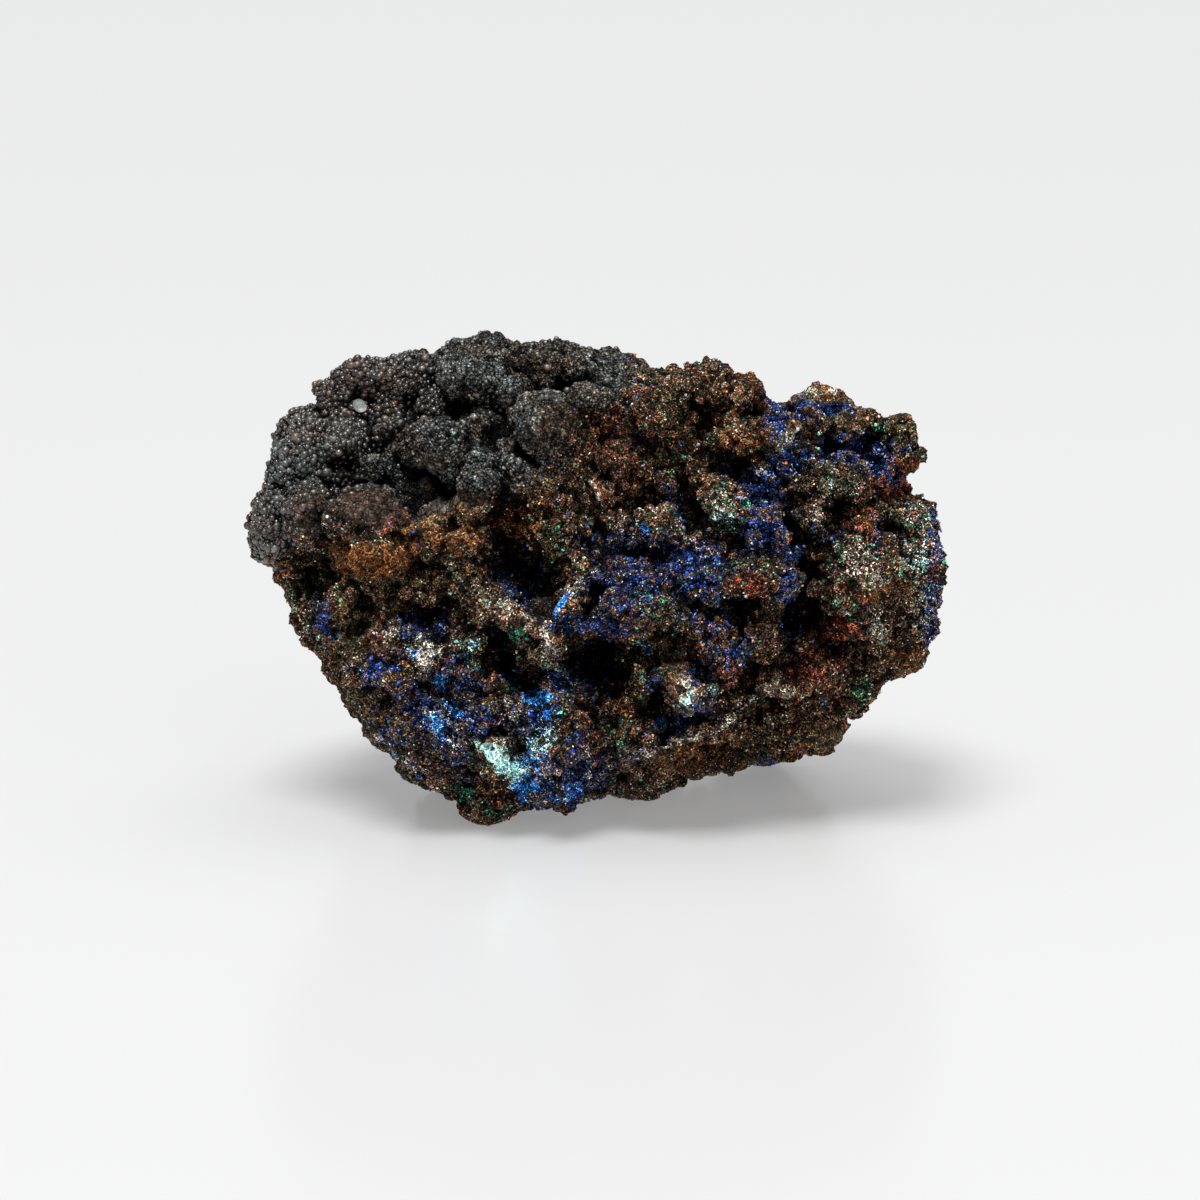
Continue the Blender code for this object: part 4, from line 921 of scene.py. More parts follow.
class NodeTree:
    """Short ways to add and join a material's nodes."""

    def __init__(self, tree: bpy.types.NodeTree) -> None:
        """Starts on an existing tree."""
        self.tree = tree

    def add(self, kind: str, **settings: object) -> bpy.types.Node:
        """Adds a node and sets its properties."""
        node = self.tree.nodes.new(kind)
        for name, value in settings.items():
            setattr(node, name, value)
        return node

    def feed(self, socket: bpy.types.NodeSocket, value: object) -> None:
        """Joins an output to a socket, or sets the socket's own value."""
        if isinstance(value, bpy.types.NodeSocket):
            self.tree.links.new(value, socket)
        else:
            socket.default_value = value

    def math(self, operation: str, *values: object, clamp: bool = False) -> bpy.types.NodeSocket:
        """A Math node's result."""
        node = self.add("ShaderNodeMath", operation=operation, use_clamp=clamp)
        for socket, value in zip(node.inputs, values):
            self.feed(socket, value)
        return node.outputs[0]

    def blend(self, share: object, below: object, above: object, kind: str = "MIX") -> bpy.types.NodeSocket:
        """A colour mix of below and above."""
        node = self.add("ShaderNodeMix", data_type="RGBA", blend_type=kind)
        self.feed(node.inputs["Factor"], share)
        self.feed(node.inputs[6], below)
        self.feed(node.inputs[7], above)
        return node.outputs[2]

    def value_blend(self, share: object, below: object, above: object) -> bpy.types.NodeSocket:
        """A mix of two values."""
        node = self.add("ShaderNodeMix", data_type="FLOAT")
        for socket, value in zip((node.inputs[0], node.inputs[2], node.inputs[3]), (share, below, above)):
            self.feed(socket, value)
        return node.outputs[0]

    def grey(self, value: object) -> bpy.types.NodeSocket:
        """A grey as light as a value."""
        node = self.add("ShaderNodeCombineColor")
        for socket in node.inputs[:3]:
            self.feed(socket, value)
        return node.outputs[0]

    def attribute(self, name: str, output: str = "Fac") -> bpy.types.NodeSocket:
        """A mesh attribute's value or colour."""
        return self.add("ShaderNodeAttribute", attribute_name=name).outputs[output]

    def noise(self, scale: float) -> bpy.types.NodeSocket:
        """Smooth noise from 0 to 1 over the piece, at a scale in waves a metre."""
        node = self.add("ShaderNodeTexNoise")
        self.feed(node.inputs["Vector"], self.add("ShaderNodeTexCoord").outputs["Object"])
        self.feed(node.inputs["Scale"], scale)
        return node.outputs["Fac"]

    def bump(self, height: bpy.types.NodeSocket, distance: float) -> bpy.types.NodeSocket:
        """A bumpy normal, as high as a distance in metres."""
        node = self.add("ShaderNodeBump")
        self.feed(node.inputs["Height"], height)
        self.feed(node.inputs["Distance"], distance)
        self.feed(node.inputs["Strength"], 1.0)
        return node.outputs[0]

    def between_knots(
        self, dome: bpy.types.NodeSocket, wall: bpy.types.NodeSocket, painted_wall_light: object
    ) -> bpy.types.NodeSocket:
        """A factor of painted light and shade: darker in the creases between the rock's small knots and lighter
        on their tops, and lighter along their thin walls as a painted highlight on those ridges.
        """
        knotted = self.math("MULTIPLY_ADD", self.math("POWER", dome, 2.0), 1.4, 0.40)
        return self.math("ADD", knotted, self.math("MULTIPLY", wall, painted_wall_light))

    def ramp(self, value: object, palette: Palette) -> bpy.types.NodeSocket:
        """A palette read at a value from 0 to 1."""
        node = self.add("ShaderNodeValToRGB")
        stops = node.color_ramp.elements
        last = len(palette.colours) - 1
        while len(stops) <= last:
            stops.new(0.5)
        for number, colour in enumerate(palette.colours):
            stops[number].position = number / last
            stops[number].color = (*colour, 1)
        self.feed(node.inputs["Fac"], value)
        return node.outputs["Color"]


def grain_cells_group() -> bpy.types.NodeTree:
    """Packed grains of one size: three random values and a dome for each grain, and thin walls between them."""
    group = bpy.data.node_groups.new("grain_cells", "ShaderNodeTree")
    size = group.interface.new_socket("Size", in_out="INPUT", socket_type="NodeSocketFloat")
    size.default_value = 0.4
    for name in ("Pick", "Tone", "Dome", "Third", "Wall"):
        group.interface.new_socket(name, in_out="OUTPUT", socket_type="NodeSocketFloat")
    tree = NodeTree(group)
    inside = tree.add("NodeGroupInput")
    outside = tree.add("NodeGroupOutput")
    place = tree.add("ShaderNodeTexCoord").outputs["Object"]
    scale = tree.math("DIVIDE", 1 / MM, inside.outputs["Size"])
    warp = tree.add("ShaderNodeTexNoise")
    tree.feed(warp.inputs["Vector"], place)
    tree.feed(warp.inputs["Scale"], tree.math("MULTIPLY", scale, 0.7))
    bent = tree.add("ShaderNodeVectorMath", operation="MULTIPLY_ADD")
    tree.feed(bent.inputs[0], warp.outputs["Color"])
    tree.feed(bent.inputs[1], (0.00022, 0.00022, 0.00022))
    tree.feed(bent.inputs[2], place)
    cells = tree.add("ShaderNodeTexVoronoi", feature="F1")
    tree.feed(cells.inputs["Vector"], bent.outputs[0])
    tree.feed(cells.inputs["Scale"], scale)
    parts = tree.add("ShaderNodeSeparateColor")
    tree.feed(parts.inputs[0], cells.outputs["Color"])
    tree.feed(outside.inputs["Pick"], parts.outputs[0])
    tree.feed(outside.inputs["Tone"], parts.outputs[1])
    tree.feed(outside.inputs["Third"], parts.outputs[2])
    tree.feed(outside.inputs["Dome"], tree.math("SUBTRACT", 1.0, cells.outputs["Distance"], clamp=True))
    edges = tree.add("ShaderNodeTexVoronoi", feature="DISTANCE_TO_EDGE")
    tree.feed(edges.inputs["Vector"], bent.outputs[0])
    tree.feed(edges.inputs["Scale"], scale)
    near = tree.math("MULTIPLY", edges.outputs["Distance"], 10.0)
    tree.feed(outside.inputs["Wall"], tree.math("SUBTRACT", 1.0, near, clamp=True))
    return group


KNOT = 0.78  # the size of the smallest knots of the rock, in millimetres
PAINTED_WALL_LIGHT = 2.4  # how much lighter the thin walls between them are, a painted highlight on their ridges
FINE_NOISE = 6500.0  # the scale of the finest speckle, in waves a metre
FOLD_NOISE = 1300.0  # the scale of the crust's wrinkles
CRUST_HUES = Palette(((0.84, 1.04, 1.15), (0.98, 0.98, 0.95), (0.60, 0.47, 0.40)))  # from bluish to brown
LAYING_ORDER = (
    Mineral.OLIVE, Mineral.HEMATITE, Mineral.LIMONITE, Mineral.AZURITE, Mineral.PALE,
    Mineral.SKY, Mineral.MALACHITE, Mineral.CHRYSOCOLLA,
)


@dataclass(frozen=True)
class RockFinish:
    """The rock's own surface: grains of every mineral, picked grain by grain from the masks, with painted shade
    in the creases between grains and knots and in the crust's wrinkles, and the rock's painted shade laid over
    them.
    """

    grain: float = 0.18
    bead: float = 0.27
    knot_pick: float = 0.58
    knot_tone: float = 0.5
    crust_tone: float = 0.30
    rust: float = 0.35
    bump_height: float = 0.00020
    # painted shade: the darkest crease between grains, the creases' level on calm skin, and the dark and light
    # of the crust's wrinkles
    darkest: float = 0.02
    calm_crease: float = 0.43
    fold_floor: float = 0.08
    fold_rise: float = 1.35
    grit: float = 2.4
    crust_grit: float = 1.3
    gloss: float = 0.07

    def material(self, grain_cells: bpy.types.NodeTree) -> bpy.types.Material:
        """Builds the material."""
        material = bpy.data.materials.new("rock_grains")
        material.use_nodes = True
        tree = NodeTree(material.node_tree)
        shader = material.node_tree.nodes["Principled BSDF"]
        grains = self.cells(tree, grain_cells, self.grain)
        beads = self.cells(tree, grain_cells, self.bead)
        knots = self.cells(tree, grain_cells, KNOT)
        pick = self.shared(tree, grains["Pick"], knots["Pick"], self.knot_pick)
        tone = tree.math("POWER", self.shared(tree, grains["Tone"], knots["Tone"], self.knot_tone), 1.3)
        on_crust = self.over(tree, tree.attribute(Mineral.CRUST.value), knots["Third"])
        colour = tree.ramp(tone, ROCK_BROWN)
        for mineral in LAYING_ORDER:
            colour = self.lay(tree, colour, mineral, pick, tone)
        colour = tree.blend(on_crust, colour, self.crust_colour(tree, beads, knots, pick, tone))
        dome = tree.value_blend(on_crust, grains["Dome"], beads["Dome"])
        fine = tree.noise(FINE_NOISE)
        skin = self.skin(tree, dome, knots, on_crust)
        power = tree.value_blend(on_crust, self.grit, self.crust_grit)
        grit = tree.math("POWER", tree.math("MULTIPLY", fine, 2.0), power)
        # painted shade of the creases and of the rock's hollows, times a fine random speckle
        shade = tree.math("MULTIPLY", tree.math("MULTIPLY", skin, grit), tree.attribute("shade"))
        tree.feed(shader.inputs["Base Color"], tree.blend(1.0, colour, tree.grey(shade), "MULTIPLY"))
        tree.feed(shader.inputs["Roughness"], tree.math("MULTIPLY_ADD", grains["Third"], -0.5, 0.88))
        tree.feed(shader.inputs["Specular IOR Level"], self.gloss)
        height = tree.math("MULTIPLY_ADD", fine, 0.5, dome)
        tree.feed(shader.inputs["Normal"], tree.bump(height, self.bump_height))
        return material

    def crust_colour(
        self, tree: NodeTree, beads: dict[str, object], knots: dict[str, object], pick: object, tone: object
    ) -> bpy.types.NodeSocket:
        """The dark crust's colour, from bluish to brown by its warmth, with some rust on it."""
        even = tree.math("MULTIPLY_ADD", knots["Tone"], self.crust_tone, 0.20)
        own = tree.math("MULTIPLY_ADD", beads["Tone"], self.crust_tone, even)
        hue = tree.ramp(tree.attribute("warmth"), CRUST_HUES)
        dark = tree.blend(1.0, tree.ramp(own, PALETTES[Mineral.CRUST]), hue, "MULTIPLY")
        rusty = self.over(tree, tree.math("MULTIPLY", tree.attribute(Mineral.HEMATITE.value), self.rust), pick)
        return tree.blend(rusty, dark, tree.ramp(tone, PALETTES[Mineral.HEMATITE]))

    def skin(
        self, tree: NodeTree, dome: object, knots: dict[str, object], on_crust: object
    ) -> bpy.types.NodeSocket:
        """Painted shade and light: how dark the creases between grains, the crust's wrinkles and the creases
        between the knots leave the surface, and how light the tops of grains and knots and the knots' thin
        walls.
        """
        crease = tree.math("MULTIPLY_ADD", tree.math("POWER", dome, 3.0), 1.9, self.darkest)
        smooth = tree.math("MULTIPLY", tree.attribute("calm"), 0.8)
        skin = tree.value_blend(smooth, crease, self.calm_crease)
        off = tree.math("ABSOLUTE", tree.math("SUBTRACT", tree.noise(FOLD_NOISE), 0.5))
        fold = tree.math("MULTIPLY", off, 12.0, clamp=True)
        wrinkle = tree.math("MULTIPLY_ADD", fold, self.fold_rise, self.fold_floor)
        skin = tree.math("MULTIPLY", skin, tree.value_blend(on_crust, 1.0, wrinkle))
        painted_wall_light = tree.value_blend(on_crust, PAINTED_WALL_LIGHT, 0.0)
        return tree.math("MULTIPLY", skin, tree.between_knots(knots["Dome"], knots["Wall"], painted_wall_light))

    @staticmethod
    def shared(tree: NodeTree, grain: object, knot: object, share: float) -> bpy.types.NodeSocket:
        """A mix of a grain's own random value and its knot's, with this share of the knot's."""
        return tree.math("MULTIPLY_ADD", grain, 1.0 - share, tree.math("MULTIPLY", knot, share))

    @staticmethod
    def cells(
        tree: NodeTree, grain_cells: bpy.types.NodeTree, size: float
    ) -> dict[str, bpy.types.NodeSocket]:
        """One size of packed grains."""
        node = tree.add("ShaderNodeGroup", node_tree=grain_cells)
        tree.feed(node.inputs["Size"], size)
        return {output.name: output for output in node.outputs}

    @staticmethod
    def over(tree: NodeTree, share: object, pick: object) -> bpy.types.NodeSocket:
        """1 on the grains whose pick is lower than the share."""
        beats = tree.math("SUBTRACT", tree.math("MULTIPLY", share, 1.02), pick)
        return tree.math("MULTIPLY", beats, 14.0, clamp=True)

    def lay(
        self, tree: NodeTree, below: object, mineral: Mineral, pick: object, tone: object
    ) -> bpy.types.NodeSocket:
        """Lays one mineral's grains over the colour so far."""
        own = tree.math("FRACT", tree.math("MULTIPLY_ADD", pick, 1.0, 0.37 * LAYING_ORDER.index(mineral)))
        share = self.over(tree, tree.attribute(mineral.value), own)
        return tree.blend(share, below, tree.ramp(tone, PALETTES[mineral]))


@dataclass(frozen=True)
class GrainFinish:
    """The surface of separate grains and crystals, each with its own tint."""

    name: str
    roughness: float
    ior: float = 1.5
    gloss: float = 0.5
    mottle: float = 1.7
    painted_wall_light: float = PAINTED_WALL_LIGHT
    bump_height: float = 0.00003

    def material(self, grain_cells: bpy.types.NodeTree) -> bpy.types.Material:
        """Builds the material."""
        material = bpy.data.materials.new(self.name)
        material.use_nodes = True
        tree = NodeTree(material.node_tree)
        shader = material.node_tree.nodes["Principled BSDF"]
        speckle = tree.noise(FINE_NOISE)
        shade = tree.math("POWER", tree.math("MULTIPLY", speckle, 2.0), self.mottle)
        knots = RockFinish.cells(tree, grain_cells, KNOT)
        # painted shade in the creases between the knots, and a painted highlight on their thin walls
        shade = tree.math("MULTIPLY", shade, tree.between_knots(knots["Dome"], knots["Wall"], self.painted_wall_light))
        tint = tree.attribute("tint", "Color")
        tree.feed(shader.inputs["Base Color"], tree.blend(1.0, tint, tree.grey(shade), "MULTIPLY"))
        rough = tree.math("MULTIPLY_ADD", speckle, 0.3, self.roughness - 0.15)
        tree.feed(shader.inputs["Roughness"], rough)
        tree.feed(shader.inputs["IOR"], self.ior)
        tree.feed(shader.inputs["Specular IOR Level"], self.gloss)
        tree.feed(shader.inputs["Normal"], tree.bump(speckle, self.bump_height))
        return material


class Shape(NamedTuple):
    """A small closed shape of unit size, to be copied: its points and its faces."""

    points: np.ndarray
    faces: np.ndarray


def take_shape(piece: bpy.types.Object) -> Shape:
    """Takes a modelled piece's mesh as a shape of triangles, and removes the piece."""
    set_modifier(piece, "TRIANGULATE")
    mesh = piece.data
    points = np.empty(len(mesh.vertices) * 3)
    mesh.vertices.foreach_get("co", points)
    faces = np.array([face.vertices[:] for face in mesh.polygons])
    bpy.data.objects.remove(piece)
    return Shape(points.reshape(-1, 3), faces)


def edit_all() -> None:
    """Goes into edit mode on the active object with everything selected."""
    bpy.ops.object.mode_set(mode="EDIT")
    bpy.ops.mesh.select_all(action="SELECT")


def roughened(offset: float, seed: int) -> bpy.types.Object:
    """Moves the points of the active object a little at random, in edit mode, and gives the object."""
    bpy.ops.transform.vertex_random(offset=offset, seed=seed)
    bpy.ops.object.mode_set(mode="OBJECT")
    return bpy.context.object


def round_shape(subdivisions: int, offset: float, seed: int) -> Shape:
    """A ball of unit size in flat facets, made uneven: twenty faces, or eighty where subdivided twice."""
    bpy.ops.object.select_all(action="DESELECT")
    bpy.ops.mesh.primitive_ico_sphere_add(subdivisions=subdivisions, radius=0.5)
    edit_all()
    return take_shape(roughened(offset, seed))


def crystal_shape(tilt: float) -> Shape:
    """A six-sided blocky crystal, cut off by slanting faces at its end."""
    bpy.ops.object.select_all(action="DESELECT")
    bpy.ops.mesh.primitive_cylinder_add(vertices=6, radius=0.5, depth=1.6)
    piece = bpy.context.object
    edit_all()
    bpy.ops.transform.resize(value=(1.0, 0.62, 1.0))
    for lean in (tilt, -tilt * 1.4):
        bpy.ops.mesh.select_all(action="SELECT")
        way = (math.sin(lean), 0.2, math.cos(lean))
        bpy.ops.mesh.bisect(plane_co=(0, 0, 0.45), plane_no=way, use_fill=True, clear_outer=True)
    bpy.ops.object.mode_set(mode="OBJECT")
    return take_shape(piece)


def crumb_shape(seed: int) -> Shape:
    """A lumpy angular crumb of twenty faces."""
    return round_shape(1, 0.13, seed)


def chip_shape(seed: int) -> Shape:
    """A sharp chip of eight faces: two pyramids, base to base."""
    bpy.ops.object.select_all(action="DESELECT")
    height = 0.55
    bpy.ops.mesh.primitive_cone_add(vertices=4, radius1=0.55, radius2=0.0, depth=height)
    edit_all()
    bpy.ops.mesh.select_face_by_sides(number=4, extend=False)
    bpy.ops.mesh.poke(offset=height)
    bpy.ops.mesh.select_all(action="SELECT")
    bpy.ops.transform.translate(value=(0, 0, height / 2))
    return take_shape(roughened(0.14, seed))


def bead_shape(seed: int, subdivisions: int) -> Shape:
    """A rounded bead."""
    return round_shape(subdivisions, 0.03, seed)


def turned_axes(normals: np.ndarray, tilt: float, random: np.random.Generator) -> np.ndarray:
    """For each normal, three axes whose last one leans off the normal by a random amount."""
    lean = normals + random.normal(0, tilt, normals.shape)
    lean /= np.linalg.norm(lean, axis=1)[:, None]
    side = np.cross(lean, random.normal(0, 1, normals.shape))
    side /= np.linalg.norm(side, axis=1)[:, None]
    return np.stack((side, np.cross(lean, side), lean), axis=1)


class Spots(NamedTuple):
    """Places on the rock: where they are, the way out of the rock, and the masks there."""

    points: np.ndarray
    normals: np.ndarray
    masks: dict[str, np.ndarray]


TRIES = 4  # how many random spots are tried for each that may be kept
ROUND_ABOUT = tuple((x, y, z) for x in (-1, 0, 1) for y in (-1, 0, 1) for z in (-1, 0, 1))


@dataclass
class RockSurface:
    """The finished rock's triangles, to scatter grains on."""

    rock: bpy.types.Object
    face: FacePlane
    hidden_share: float = 0.3

    def __post_init__(self) -> None:
        """Reads the triangles and the masks once."""
        mesh = self.rock.data
        mesh.calc_loop_triangles()
        corners = np.empty(len(mesh.loop_triangles) * 3, int)
        mesh.loop_triangles.foreach_get("vertices", corners)
        self.corners = corners.reshape(-1, 3)
        self.points = read_points(mesh)
        self.normals = read_points(mesh, "normal")
        first, second, third = (self.points[self.corners[:, number]] for number in range(3))
        self.areas = np.linalg.norm(np.cross(second - first, third - first), axis=1) / 2
        self.masks = {}
        for name in (*(mineral.value for mineral in Mineral), "calm", "beaded", "warmth", "shade"):
            values = np.empty(len(self.points), np.float32)
            mesh.attributes[name].data.foreach_get("value", values)
            self.masks[name] = values.astype(float)
        facing = smooth_step(-0.35, 0.1, self.normals @ self.face.towards_viewer())
        self.showing = self.hidden_share + (1 - self.hidden_share) * facing

    def scatter(self, density: np.ndarray, count: int, gap: float, random: np.random.Generator) -> Spots:
        """Random spots with a least gap between them.

        Args:
            density: How thickly they lie, for each vertex.
            count: The most spots to keep.
            gap: The least distance between two spots, in millimetres.
            random: The source of random numbers.

        Returns:
            The spots, never more than count.
        """
        weights = self.areas * (density * self.showing)[self.corners].mean(axis=1)
        chosen = random.choice(len(weights), size=count * TRIES, p=weights / weights.sum())
        shares = random.dirichlet((1, 1, 1), size=len(chosen))
        corners = self.corners[chosen]
        points = np.einsum("ij,ijk->ik", shares, self.points[corners])
        kept = self.thinned(points, gap)[:count]
        corners, shares = corners[kept], shares[kept]
        normals = np.einsum("ij,ijk->ik", shares, self.normals[corners])
        normals /= np.linalg.norm(normals, axis=1)[:, None]
        masks = {name: np.einsum("ij,ij->i", shares, values[corners]) for name, values in self.masks.items()}
        return Spots(points[kept], normals, masks)

    @staticmethod
    def thinned(points: np.ndarray, gap: float) -> np.ndarray:
        """The points that keep the gap to all those kept before them, as indices."""
        taken: dict[tuple[int, int, int], int] = {}
        kept = []
        cells = np.floor(points / gap).astype(int)
        for number, (x, y, z) in enumerate(cells.tolist()):
            if (x, y, z) in taken:
                continue
            near = (taken.get((x + i, y + j, z + k)) for i, j, k in ROUND_ABOUT)
            gaps = (np.sum((points[other] - points[number]) ** 2) for other in near if other is not None)
            if all(distance > gap * gap for distance in gaps):
                taken[(x, y, z)] = number
                kept.append(number)
        return np.array(kept)


def joined_copies(
    name: str, shapes: list[Shape], spots: Spots, sizes: np.ndarray, axes: np.ndarray, tints: np.ndarray,
    smooth: bool,
) -> bpy.types.Object:
    """One piece made of many copies of small closed shapes.

    Args:
        name: The piece's name.
        shapes: The shapes, which the copies take by turns.
        spots: Where the copies go.
        sizes: Each copy's size along its own three axes, in millimetres.
        axes: Each copy's own three axes.
        tints: Each copy's colour.
        smooth: Whether the copies are shaded smooth.

    Returns:
        The new piece, with a tint attribute.
    """
    all_points, all_faces, all_tints, base = [], [], [], 0
    for number, shape in enumerate(shapes):
        mine = np.arange(number, len(spots.points), len(shapes))
        scaled = shape.points[None] * sizes[mine][:, None, :]
        placed = np.einsum("cpa,cax->cpx", scaled, axes[mine]) + spots.points[mine][:, None, :]
        starts = base + np.arange(len(mine)) * len(shape.points)
        all_points.append(placed.reshape(-1, 3))
        all_faces.append((shape.faces[None] + starts[:, None, None]).reshape(-1, 3))
        all_tints.append(np.repeat(tints[mine], len(shape.points), axis=0))
        base += len(mine) * len(shape.points)
    points, faces = np.concatenate(all_points), np.concatenate(all_faces)
    points[:, 2] = np.maximum(points[:, 2], 0.0)
    mesh = bpy.data.meshes.new(name)
    mesh.vertices.add(len(points))
    mesh.vertices.foreach_set("co", (points * MM).ravel())
    mesh.loops.add(faces.size)
    mesh.loops.foreach_set("vertex_index", faces.ravel())
    mesh.polygons.add(len(faces))
    mesh.polygons.foreach_set("loop_start", np.arange(len(faces)) * 3)
    mesh.update(calc_edges=True)
    mesh.validate()
    if smooth:
        mesh.shade_smooth()
    else:
        mesh.shade_flat()
    write_values(mesh, "tint", np.concatenate(all_tints))
    piece = bpy.data.objects.new(name, mesh)
    bpy.context.scene.collection.objects.link(piece)
    return piece


CLUSTER_CELL = 0.9  # how wide a patch of grains of much the same colour is, in millimetres
CLUSTER_SHARE = 0.62  # how much such a patch decides, and chance the rest
CLUSTER_CONTRAST = 1.6
SOFTENING = 0.7  # how much the lightest grains are held back
BEAD_TONE = (0.08, 0.36)  # the beads' darkest tone, and how much lighter they may be


def varied(tints: np.ndarray, random: np.random.Generator, hue: float = 1.0) -> np.ndarray:
    """Grains' colours, each a little lighter or darker, and warmer or cooler by as much as hue says."""
    warmth = np.clip(random.normal(0, 0.28, len(tints)), -0.6, 0.6)[:, None] * np.array((1.0, 0.0, -1.0))
    redness = np.clip(random.normal(0, 0.16, len(tints)), -0.4, 0.4)[:, None] * np.array((0.6, -1.0, 0.0))
    return tints * (1 + hue * (warmth + redness)) * random.uniform(0.65, 1.3, len(tints))[:, None]


def with_painted_shade(tints: np.ndarray, spots: Spots) -> np.ndarray:
    """Grains' colours with the rock's painted shade at their spots, darker in hollows and lighter on what
    stands out, as the rock's own are, and never too light.
    """
    lit = tints * spots.masks["shade"][:, None]
    return lit / (1 + SOFTENING * lit.max(axis=1, keepdims=True))


def clustered(spots: Spots, seed: float, random: np.random.Generator) -> np.ndarray:
    """A random value from 0 to 1 for each spot that is much the same for its neighbours."""
    together = 0.5 + 0.9 * noise_at(spots.points, CLUSTER_CELL, seed)
    mixed = (1 - CLUSTER_SHARE) * random.random(len(together)) + CLUSTER_SHARE * together
    return np.clip(0.5 + CLUSTER_CONTRAST * (mixed - 0.5), 0, 1)


def mixed_tints(spots: Spots, random: np.random.Generator) -> np.ndarray:
    """Each grain's colour, from the mineral that wins where it lies."""
    tints = ROCK_BROWN.at(clustered(spots, Seed.ROCK_TONE, random) ** 1.2)
    tone = clustered(spots, Seed.MINERAL_TONE, random) ** 1.5
    for place, mineral in enumerate(LAYING_ORDER):
        wins = spots.masks[mineral.value] > clustered(spots, Seed.WINNER + place, random)
        tints = np.where(wins[:, None], PALETTES[mineral].at(tone), tints)
    # the rock's painted shade laid on the grains
    return with_painted_shade(varied(tints, random), spots)


@dataclass
class AzuriteDruse:
    """Azurite crystals that line the blue fields and the hollows: blocky ones, and a fine druse of chips."""

    surface: RockSurface

    def blocky(self) -> bpy.types.Object:
        """The larger crystals, six-sided and cut off aslant."""
        random = np.random.default_rng(11)
        spots = self.spots(6500, 0.36, random)
        length = 0.17 + 0.30 * random.random(len(spots.points)) ** 2.4
        shapes = [crystal_shape(tilt) for tilt in (0.35, 0.7)]
        return self.crystals("azurite_crystals", shapes, spots, length, random)

    def fine(self) -> bpy.types.Object:
        """The fine druse between them."""
        random = np.random.default_rng(12)
        spots = self.spots(20000, 0.2, random)
        length = 0.12 + 0.16 * random.random(len(spots.points)) ** 1.6
        shapes = [chip_shape(seed) for seed in (1, 4)]
        return self.crystals("azurite_druse", shapes, spots, length, random)

    def spots(self, count: int, gap: float, random: np.random.Generator) -> Spots:
        """Places where azurite shows."""
        masks = self.surface.masks
        density = (np.clip(masks["azurite"], 0, 1) ** 1.5 + 0.003) * (1 - masks["crust"])
        return self.surface.scatter(density, count, gap, random)

    @staticmethod
    def crystals(
        name: str, shapes: list[Shape], spots: Spots, length: np.ndarray, random: np.random.Generator
    ) -> bpy.types.Object:
        """One piece of crystals of these lengths."""
        number = len(length)
        wide, deep = random.uniform(0.6, 1.0, number), random.uniform(0.6, 0.9, number)
        sizes = np.column_stack((length * wide, length * deep, length * random.uniform(0.8, 1.4, number)))
        axes = turned_axes(spots.normals, 0.6, random)
        tone = 0.92 * clustered(spots, Seed.AZURITE_TONE, random) ** 1.7
        # the rock's painted shade laid on the crystals
        tints = with_painted_shade(PALETTES[Mineral.AZURITE].at(tone), spots)
        return joined_copies(name, shapes, spots, sizes, axes, tints, False)


@dataclass
class MineralGrains:
    """Angular grains of the other minerals, picked grain by grain from the masks."""

    surface: RockSurface

    def coarse(self) -> bpy.types.Object:
        """Lumpy crumbs."""
        random = np.random.default_rng(31)
        shapes = [crumb_shape(seed) for seed in (1, 2, 5)]
        return self.grains("mineral_crumbs", shapes, 7500, 0.30, (0.16, 0.42, 2.2), random)

    def fine(self) -> bpy.types.Object:
        """Sharp chips."""
        random = np.random.default_rng(32)
        shapes = [chip_shape(seed) for seed in (2, 7)]
        return self.grains("mineral_chips", shapes, 20000, 0.17, (0.11, 0.25, 1.2), random)

    def grains(
        self, name: str, shapes: list[Shape], count: int, gap: float, size_range: tuple[float, float, float],
        random: np.random.Generator,
    ) -> bpy.types.Object:
        """One piece of grains.

        Args:
            name: The piece's name.
            shapes: The shapes to copy.
            count: The most grains.
            gap: The least distance between two, in millimetres.
            size_range: The smallest and largest size in millimetres, and how rare the large ones are.
            random: The source of random numbers.

        Returns:
            The piece.
        """
        masks = self.surface.masks
        smooth = np.clip(0.6 * masks["limonite"] + 0.6 * masks["hematite"] + 0.4 * masks["olive"], 0, 0.8)
        density = (1 - masks["crust"]) * (1 - 0.6 * masks["azurite"]) * (1 - smooth)
        density *= np.clip(masks["shade"], 0.15, 1.3) * (1 - 0.9 * masks["calm"])
        spots = self.surface.scatter(density + 0.003, count, gap, random)
        number = len(spots.points)
        smallest, largest, rarity = size_range
        size = smallest + (largest - smallest) * random.random(number) ** rarity
        sizes = size[:, None] * random.uniform(0.65, 1.25, (number, 3))
        axes = turned_axes(spots.normals, 0.9, random)
        return joined_copies(name, shapes, spots, sizes, axes, mixed_tints(spots, random), False)


class BeadKind(NamedTuple):
    """One kind of beads: its seed and fineness, the most there may be, the least distance between two, and
    the smallest and largest size in millimetres, and the range of stretch along each axis."""

    seed: int
    subdivisions: int
    count: int
    gap: float
    sizes: tuple[float, float]
    stretch: tuple[float, float]


LARGE_BEADS = BeadKind(22, 2, 2300, 0.5, (0.5, 0.88), (0.9, 1.12))
SMALL_BEADS = BeadKind(21, 1, 8000, 0.30, (0.15, 0.36), (0.9 - 0.3, 1.12 + 0.3))


